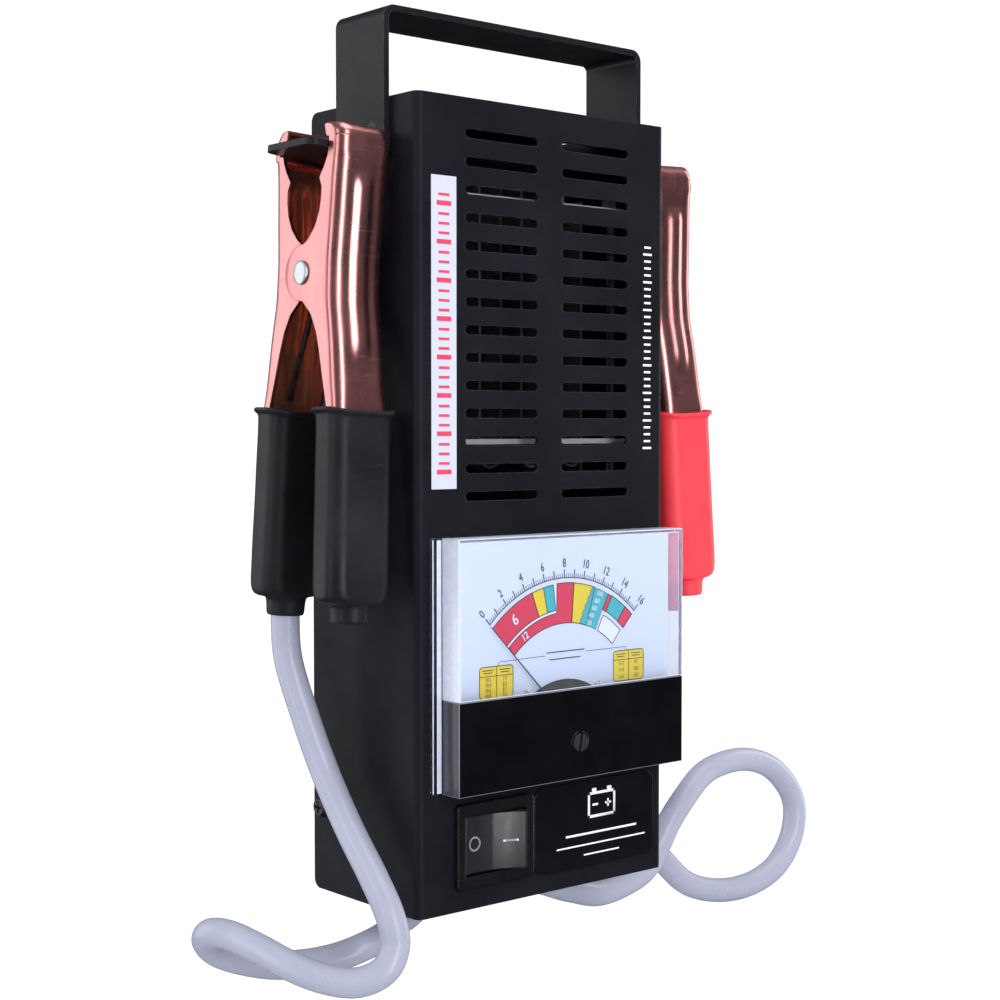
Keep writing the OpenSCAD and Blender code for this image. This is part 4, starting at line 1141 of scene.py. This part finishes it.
def jaw(colour, side, facing):
    place = clamp_frame(side)
    rows = [jaw_row(side, facing, *station) for station in jaw_stations(facing)]
    faces = grid_faces(len(rows), len(rows[0]))
    if facing < 0:
        faces = [face[::-1] for face in faces]
    verts = [place(x, facing * u, h) for row in rows for x, u, h in row]
    # The inner faces take the second material, the redder copper copy: painted red light bounced
    # inside the channel
    solidify = ("SOLIDIFY", dict(thickness=JAW_THICKNESS / 1000, offset=-1,
                                 use_even_offset=False, material_offset=1))
    half = half_name(facing)
    add_piece(f"{colour}_{half}_channel", (verts, faces), "copper", half_body(colour, facing),
              second="copper_painted_inner_light", recalc=False, smooth=38,
              mods=[solidify, bevel(0.22, 2, angle=60, miter="MITER_SHARP")],
              replaces=(f"{colour}_{half}_jaw",))


def block(place, x_span, u_span, h_span):
    (u0, u1), (h0, h1) = u_span, h_span
    near, far = ([place(x, u, h) for u, h in ((u0, h0), (u1, h0), (u1, h1), (u0, h1))]
                 for x in x_span)
    return extrude(near, far)


def at_pivot(place):
    """Placement for lathe, with its axis across the clamp through the pivot."""
    return lambda u, x, h: place(x, u, PIVOT_H + h)


def rear_lobes(colour, place):
    """Bevelled discs inside the rear channel, each with a block to its web."""
    inside, outside, radius, chamfer = 7.2, 8.35, 8.4, 0.2
    profile = [(0.01, inside), (radius - chamfer, inside), (radius, inside + chamfer),
               (radius, outside - chamfer), (radius - chamfer, outside), (0.01, outside)]
    shapes = []
    for hand in (-1, 1):
        shapes.append(lathe([(r, hand * x) for r, x in profile], at_pivot(place)))
        shapes.append(block(place, sorted((hand * inside, hand * outside)), (2, 14.2),
                            (PIVOT_H - 5, PIVOT_H + 5)))
    add_piece(f"{colour}_rear_lobes", join(shapes), "copper", colour + "_clamp")


# radius, x of one rivet head
RIVET_HEAD = [(0.01, 10.72), (1.6, 10.70), (2.7, 10.62), (3.3, 10.48), (3.62, 10.26),
              (3.68, 10.02), (3.68, 9.86), (3.5, 9.74), (2.4, 9.74)]


def pivot_rivet(colour, place):
    profile = [(radius, -x) for radius, x in RIVET_HEAD] + RIVET_HEAD[::-1]
    add_piece(f"{colour}_pivot_rivet", lathe(profile, at_pivot(place), 44), "rivet",
              colour + "_clamp", smooth=40, replaces=(colour + "_rivet",))


def lip(colour, place, facing):
    """Bar across the channel near its tip."""
    u_span = (13.8, 15.0) if facing > 0 else (-15.0, -13.8)
    add_piece(f"{colour}_{half_name(facing)}_lip",
              block(place, (-8.6, 8.6), u_span, (1.3, 3.1)), "copper",
              half_body(colour, facing), mods=[bevel(0.25, 2)])


SPRING_LEG = [(18.1, 75.5), (14.3, 65.5), (10.2, 55), (6.4, 45)]   # u, h
COIL_START, COIL_END = -0.4, 6.2                                   # x of the two legs
COIL_RADIUS = 4.3
COIL_PITCH = 0.1269           # along x for each 25 degrees of turn
WIRE_RADIUS = 0.9


def torsion_spring(colour, place):
    path = [(COIL_START, u, h) for u, h in SPRING_LEG]
    for i in range(53):
        a = math.radians(20 - i * 25)
        path.append((COIL_START + i * COIL_PITCH, COIL_RADIUS * math.cos(a),
                     PIVOT_H + COIL_RADIUS * math.sin(a)))
    path += [(COIL_END, -u, h) for u, h in reversed(SPRING_LEG)]
    ob = add_piece(f"{colour}_torsion_spring", tube(spline(path, 3), WIRE_RADIUS, 10, place),
                   "spring", None, smooth=60,
                   replaces=(colour + "_spring",))
    centre = place(0, 0, PIVOT_H)
    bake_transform(ob)


# Stations down a grip: z, width, thickness, corner radius, amount of saddle
GRIP_STATIONS = [
    (-4.0, 20.2, 11.6, 4.2, 0), (-0.6, 20.4, 11.8, 4.3, 0.6), (0.30, 20.6, 12.0, 4.4, 1),
    (0.42, 22.4, 14.4, 5.4, 1), (0.40, 24.2, 16.3, 6.2, 1), (0.22, 24.9, 17.1, 6.5, 1),
    (-0.15, 25.0, 17.2, 6.55, 1), (-0.55, 24.9, 17.1, 6.5, 1), (-0.95, 24.2, 16.4, 6.2, 1),
    (-1.25, 22.9, 15.1, 5.6, 0.9), (-1.7, 22.3, 14.5, 5.3, 0.7), (-3.2, 22.1, 14.3, 5.2, 0.4),
    (-8, 22.0, 14.2, 5.1, 0.2), (-18, 22.0, 14.2, 5.1, 0), (-28, 22.1, 14.3, 5.2, 0),
    (-38, 22.2, 14.4, 5.3, 0), (-48, 22.4, 14.6, 5.4, 0), (-53.0, 22.4, 14.7, 5.6, 0),
    (-55.2, 21.9, 14.5, 6.0, 0), (-56.4, 20.6, 14.0, 6.4, 0), (-56.95, 18.4, 13.4, 6.5, 0),
    (-57.1, 15.0, 12.9, 6.3, 0), (-57.4, 12.9, 12.5, 6.2, 0), (-58.4, 12.3, 12.2, 6.1, 0),
    (-60.5, 11.9, 11.9, 5.9, 0), (-61.9, 11.8, 11.8, 5.85, 0), (-62.7, 11.4, 11.4, 5.65, 0),
    (-63.0, 10.6, 10.6, 5.25, 0), (-62.8, 9.6, 9.6, 4.75, 0), (-61.0, 9.3, 9.3, 4.6, 0),
    (-56.0, 9.2, 9.2, 4.55, 0)]


def grip(colour, side, facing):
    """Vinyl sleeve with a saddle-shaped rim and slightly wavy sides."""
    turn = (parked(side) @ Matrix.Translation((0, facing * GRIP_U / 1000, -GRIP_H / 1000))
            @ Matrix.Rotation(math.radians(facing * GRIP_SPLAY), 4, "X"))
    rings = []
    for z, width, thickness, radius, saddle in GRIP_STATIONS:
        ring = []
        for x, u in rounded_outline(width, thickness, radius, 12):
            rise = saddle * (0.9 * (abs(x) / 13) ** 2 - 0.45 * (abs(u) / 9) ** 2)
            wave = 0.10 * math.sin(z * 0.33 + x * 0.4) * (1 if -52 < z < -6 else 0)
            ring.append(turn @ Vector(((x + wave * (1 if x > 0 else -1)) / 1000,
                                       (u + wave * 0.6) / 1000, (z + rise) / 1000)))
        rings.append(ring)
    half = half_name(facing)
    add_piece(f"{colour}_{half}_sleeve", loft(rings), "grip_" + colour,
              half_body(colour, facing), smooth=50,
              mods=[("SUBSURF", dict(levels=1, render_levels=1))],
              replaces=(f"{colour}_{half}_grip",))


for colour, side in (("black", -1), ("red", 1)):
    place = clamp_frame(side)
    jaw(colour, side, 1)
    jaw(colour, side, -1)
    rear_lobes(colour, place)
    pivot_rivet(colour, place)
    lip(colour, place, 1)
    lip(colour, place, -1)
    torsion_spring(colour, place)
    grip(colour, side, 1)
    grip(colour, side, -1)

# ---------------------------------------------------------------- leads
LEAD_RADIUS = 4.5
LEAD_SLOPE = 0.0262           # rearward run inside the splayed grip, per mm of h
# Path of each lead below its clamp, down to the case: x, y, z
LEAD_WAYS = {
    "black": [
        (-70.4, 43, 77), (-66.8, 39.2, 59.3), (-63.5, 33.2, 42.1), (-62.9, 21.3, 26.4),
        (-62.6, 9.4, 13.7), (-62.6, 0.9, 3.5), (-62, -1, -5.3), (-66, -1.1, -12),
        (-72.5, 3.6, -15.6), (-78.9, 11.6, -15.1), (-84.9, 21.2, -12.1), (-89.7, 31.3, -8.2),
        (-93.9, 40.4, -5.4), (-95.9, 48.2, -6), (-94.2, 53.7, -10), (-89.7, 54.9, -14.6),
        (-84.1, 50.5, -17.2), (-76.8, 43.5, -18.6), (-68.5, 37.4, -18.4), (-60, 33.2, -17.2),
        (-52.3, 30.4, -15.1), (-43.6, 29.4, -12.5), (-36.4, 31, -9.5), (-31.3, 32.7, -8.6),
        (-28, 33.9, -7.4), (-25.8, 34.7, -5.1), (-25, 35, -2), (-25, 35, 3), (-25, 35, 9.5)],
    "red": [
        (74.3, 43.9, 77), (79, 44.5, 55), (83, 45, 32), (87, 45.5, 12), (93.5, 46.5, -5.2),
        (100.2, 45.4, -14.4), (110.3, 42.7, -23.8), (124, 39.4, -27.9), (138.9, 36.9, -27.4),
        (152, 35.6, -22.4), (161.1, 35.6, -12.7), (163.6, 35.8, -0.7), (159.5, 36.6, 8.9),
        (149.9, 37.7, 17.3), (137.1, 38.7, 21.2), (122.7, 38.6, 20.9), (112.1, 38, 17.9),
        (101.6, 36.7, 11.1), (93.3, 36.3, 3.3), (86.4, 36, -5.7), (79.2, 35.3, -12.2),
        (67.5, 34.7, -15.6), (54.8, 34.5, -16.5), (43.4, 34.8, -13.4), (37, 35, -11.2),
        (31.6, 35, -9), (28.2, 35, -7.6), (25.9, 35, -5.2), (25, 35, -2), (25, 35, 3),
        (25, 35, 9.5)]}


def on_lead(side, h):
    """Point of a lead in line with its rear grip, h down from the clamp's tip."""
    lean = math.radians(LEAN)
    u = GRIP_U + (h - GRIP_H) * LEAD_SLOPE
    return (side * (CLAMP_X + h * math.sin(lean)), CLAMP_Y + u,
            CLAMP_TOP - h * math.cos(lean))


for colour, side in (("black", -1), ("red", 1)):
    way = [on_lead(side, h) for h in (123.5, 134, 142)] + LEAD_WAYS[colour]
    ob = add_piece(f"{colour}_lead", tube(spline(way, 12), LEAD_RADIUS, 32, point), "cable",
                   None, smooth=60, replaces=("cable_" + colour,))
    top = point(*on_lead(side, 145))
    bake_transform(ob)


# ---------------------------------------------------------------- floor and world (metres)
def floor_material():
    """Pale to the eye and to soft light; glossy and shadow rays pass through it."""
    material = bpy.data.materials.new("floor_pale")
    shader = Shader(material)
    rays = shader.add("LightPath").outputs
    matt = shader.add("BsdfDiffuse", {"Color": (0.80, 0.80, 0.82)})
    glow = shader.add("Emission", {"Color": (1, 1, 1), "Strength": 1.22})
    glow_share = shader.math("MULTIPLY", rays["Is Camera Ray"], 0.76)
    pale = shader.mix_shaders(glow_share, matt, glow)
    passing = shader.math("MAXIMUM", rays["Is Glossy Ray"], rays["Is Shadow Ray"])
    seen = shader.mix_shaders(passing, pale, shader.add("BsdfTransparent"))
    shader.add("OutputMaterial", {"Surface": seen})
    return material


FLOOR_HALF = 6.0
floor_z = cad_box[0][2] - 0.0012
mesh = bpy.data.meshes.new("floor")
mesh.from_pydata([(-FLOOR_HALF, -FLOOR_HALF, floor_z), (FLOOR_HALF, -FLOOR_HALF, floor_z),
                  (FLOOR_HALF, FLOOR_HALF, floor_z), (-FLOOR_HALF, FLOOR_HALF, floor_z)],
                 [], [(0, 1, 2, 3)])
floor = add_object("floor", mesh)
mesh.materials.append(floor_material())


def build_world():
    """Bright to diffuse rays, dim to glossy ones, white to the camera and through glass."""
    world = bpy.data.worlds.new("studio")
    scene.world = world
    shader = Shader(world)
    world.cycles.sampling_method = "NONE"
    rays = shader.add("LightPath").outputs
    cool = (0.92, 0.94, 1.0)
    diffuse = shader.add("Background", {"Color": cool, "Strength": 0.95})
    coords = shader.add("TexCoord").outputs["Generated"]
    height = shader.add("SeparateXYZ", {"Vector": coords}).outputs["Z"]
    glossy = shader.add("Background", {
        "Color": cool, "Strength": shader.remap(height, -0.1, 0.9, to=(0.035, 0.16))})
    seen = shader.add("Background", {"Color": (1, 1, 1), "Strength": 1.1})
    lighting = shader.mix_shaders(rays["Is Glossy Ray"], diffuse, glossy)
    looking = shader.math("MAXIMUM", rays["Is Camera Ray"], rays["Is Transmission Ray"])
    shader.add("OutputWorld", {"Surface": shader.mix_shaders(looking, lighting, seen)})


build_world()


# ---------------------------------------------------------------- lights and camera
def softbox(name, azimuth, elevation, distance, size, radiance, color=(1, 1, 1)):
    """Area light aimed at the origin; azimuth 0 is in front, + to the right (degrees)."""
    a, e = math.radians(azimuth), math.radians(elevation)
    location = Vector((math.sin(a) * math.cos(e), -math.cos(a) * math.cos(e),
                       math.sin(e))) * distance
    light = bpy.data.lights.new(name, "AREA")
    light.shape = "RECTANGLE"
    light.size, light.size_y = size
    light.energy = radiance * math.pi * size[0] * size[1]
    light.color = color
    ob = add_object(name, light)
    ob.location = location
    ob.rotation_euler = (-location).to_track_quat("-Z", "Y").to_euler()


softbox("box_left_rear", azimuth=-138, elevation=6, distance=1.5, size=(1.25, 1.7),
        radiance=1.3, color=(0.97, 0.98, 1.0))
softbox("strip_front", azimuth=-7, elevation=8, distance=1.5, size=(0.50, 1.7),
        radiance=4.2, color=(0.98, 0.98, 1.0))
softbox("box_top", azimuth=20, elevation=72, distance=1.5, size=(1.2, 1.0), radiance=1.8)
softbox("strip_right", azimuth=82, elevation=12, distance=1.5, size=(0.5, 1.6), radiance=2.4)
softbox("strip_left", azimuth=-86, elevation=6, distance=1.6, size=(0.34, 1.7),
        radiance=2.4, color=(0.98, 0.98, 1.0))

CAMERA_PLACE = (-384.18, -427.42, 149.65)     # in the case frame
CAMERA_DOWN = 2.3185                          # degrees below level
CAMERA_TURN = -40.435                         # about Z, degrees
lens = bpy.data.cameras.new("cam")
lens.sensor_width = 36
lens.sensor_fit = "HORIZONTAL"
lens.lens = 64.87
lens.clip_start = 0.01
camera = add_object("cam", lens)
camera.location = point(*CAMERA_PLACE)
camera.rotation_euler = (math.radians(90 - CAMERA_DOWN), 0, math.radians(CAMERA_TURN))
scene.camera = camera
scene.view_settings.view_transform = "Standard"
scene.view_settings.look = "None"
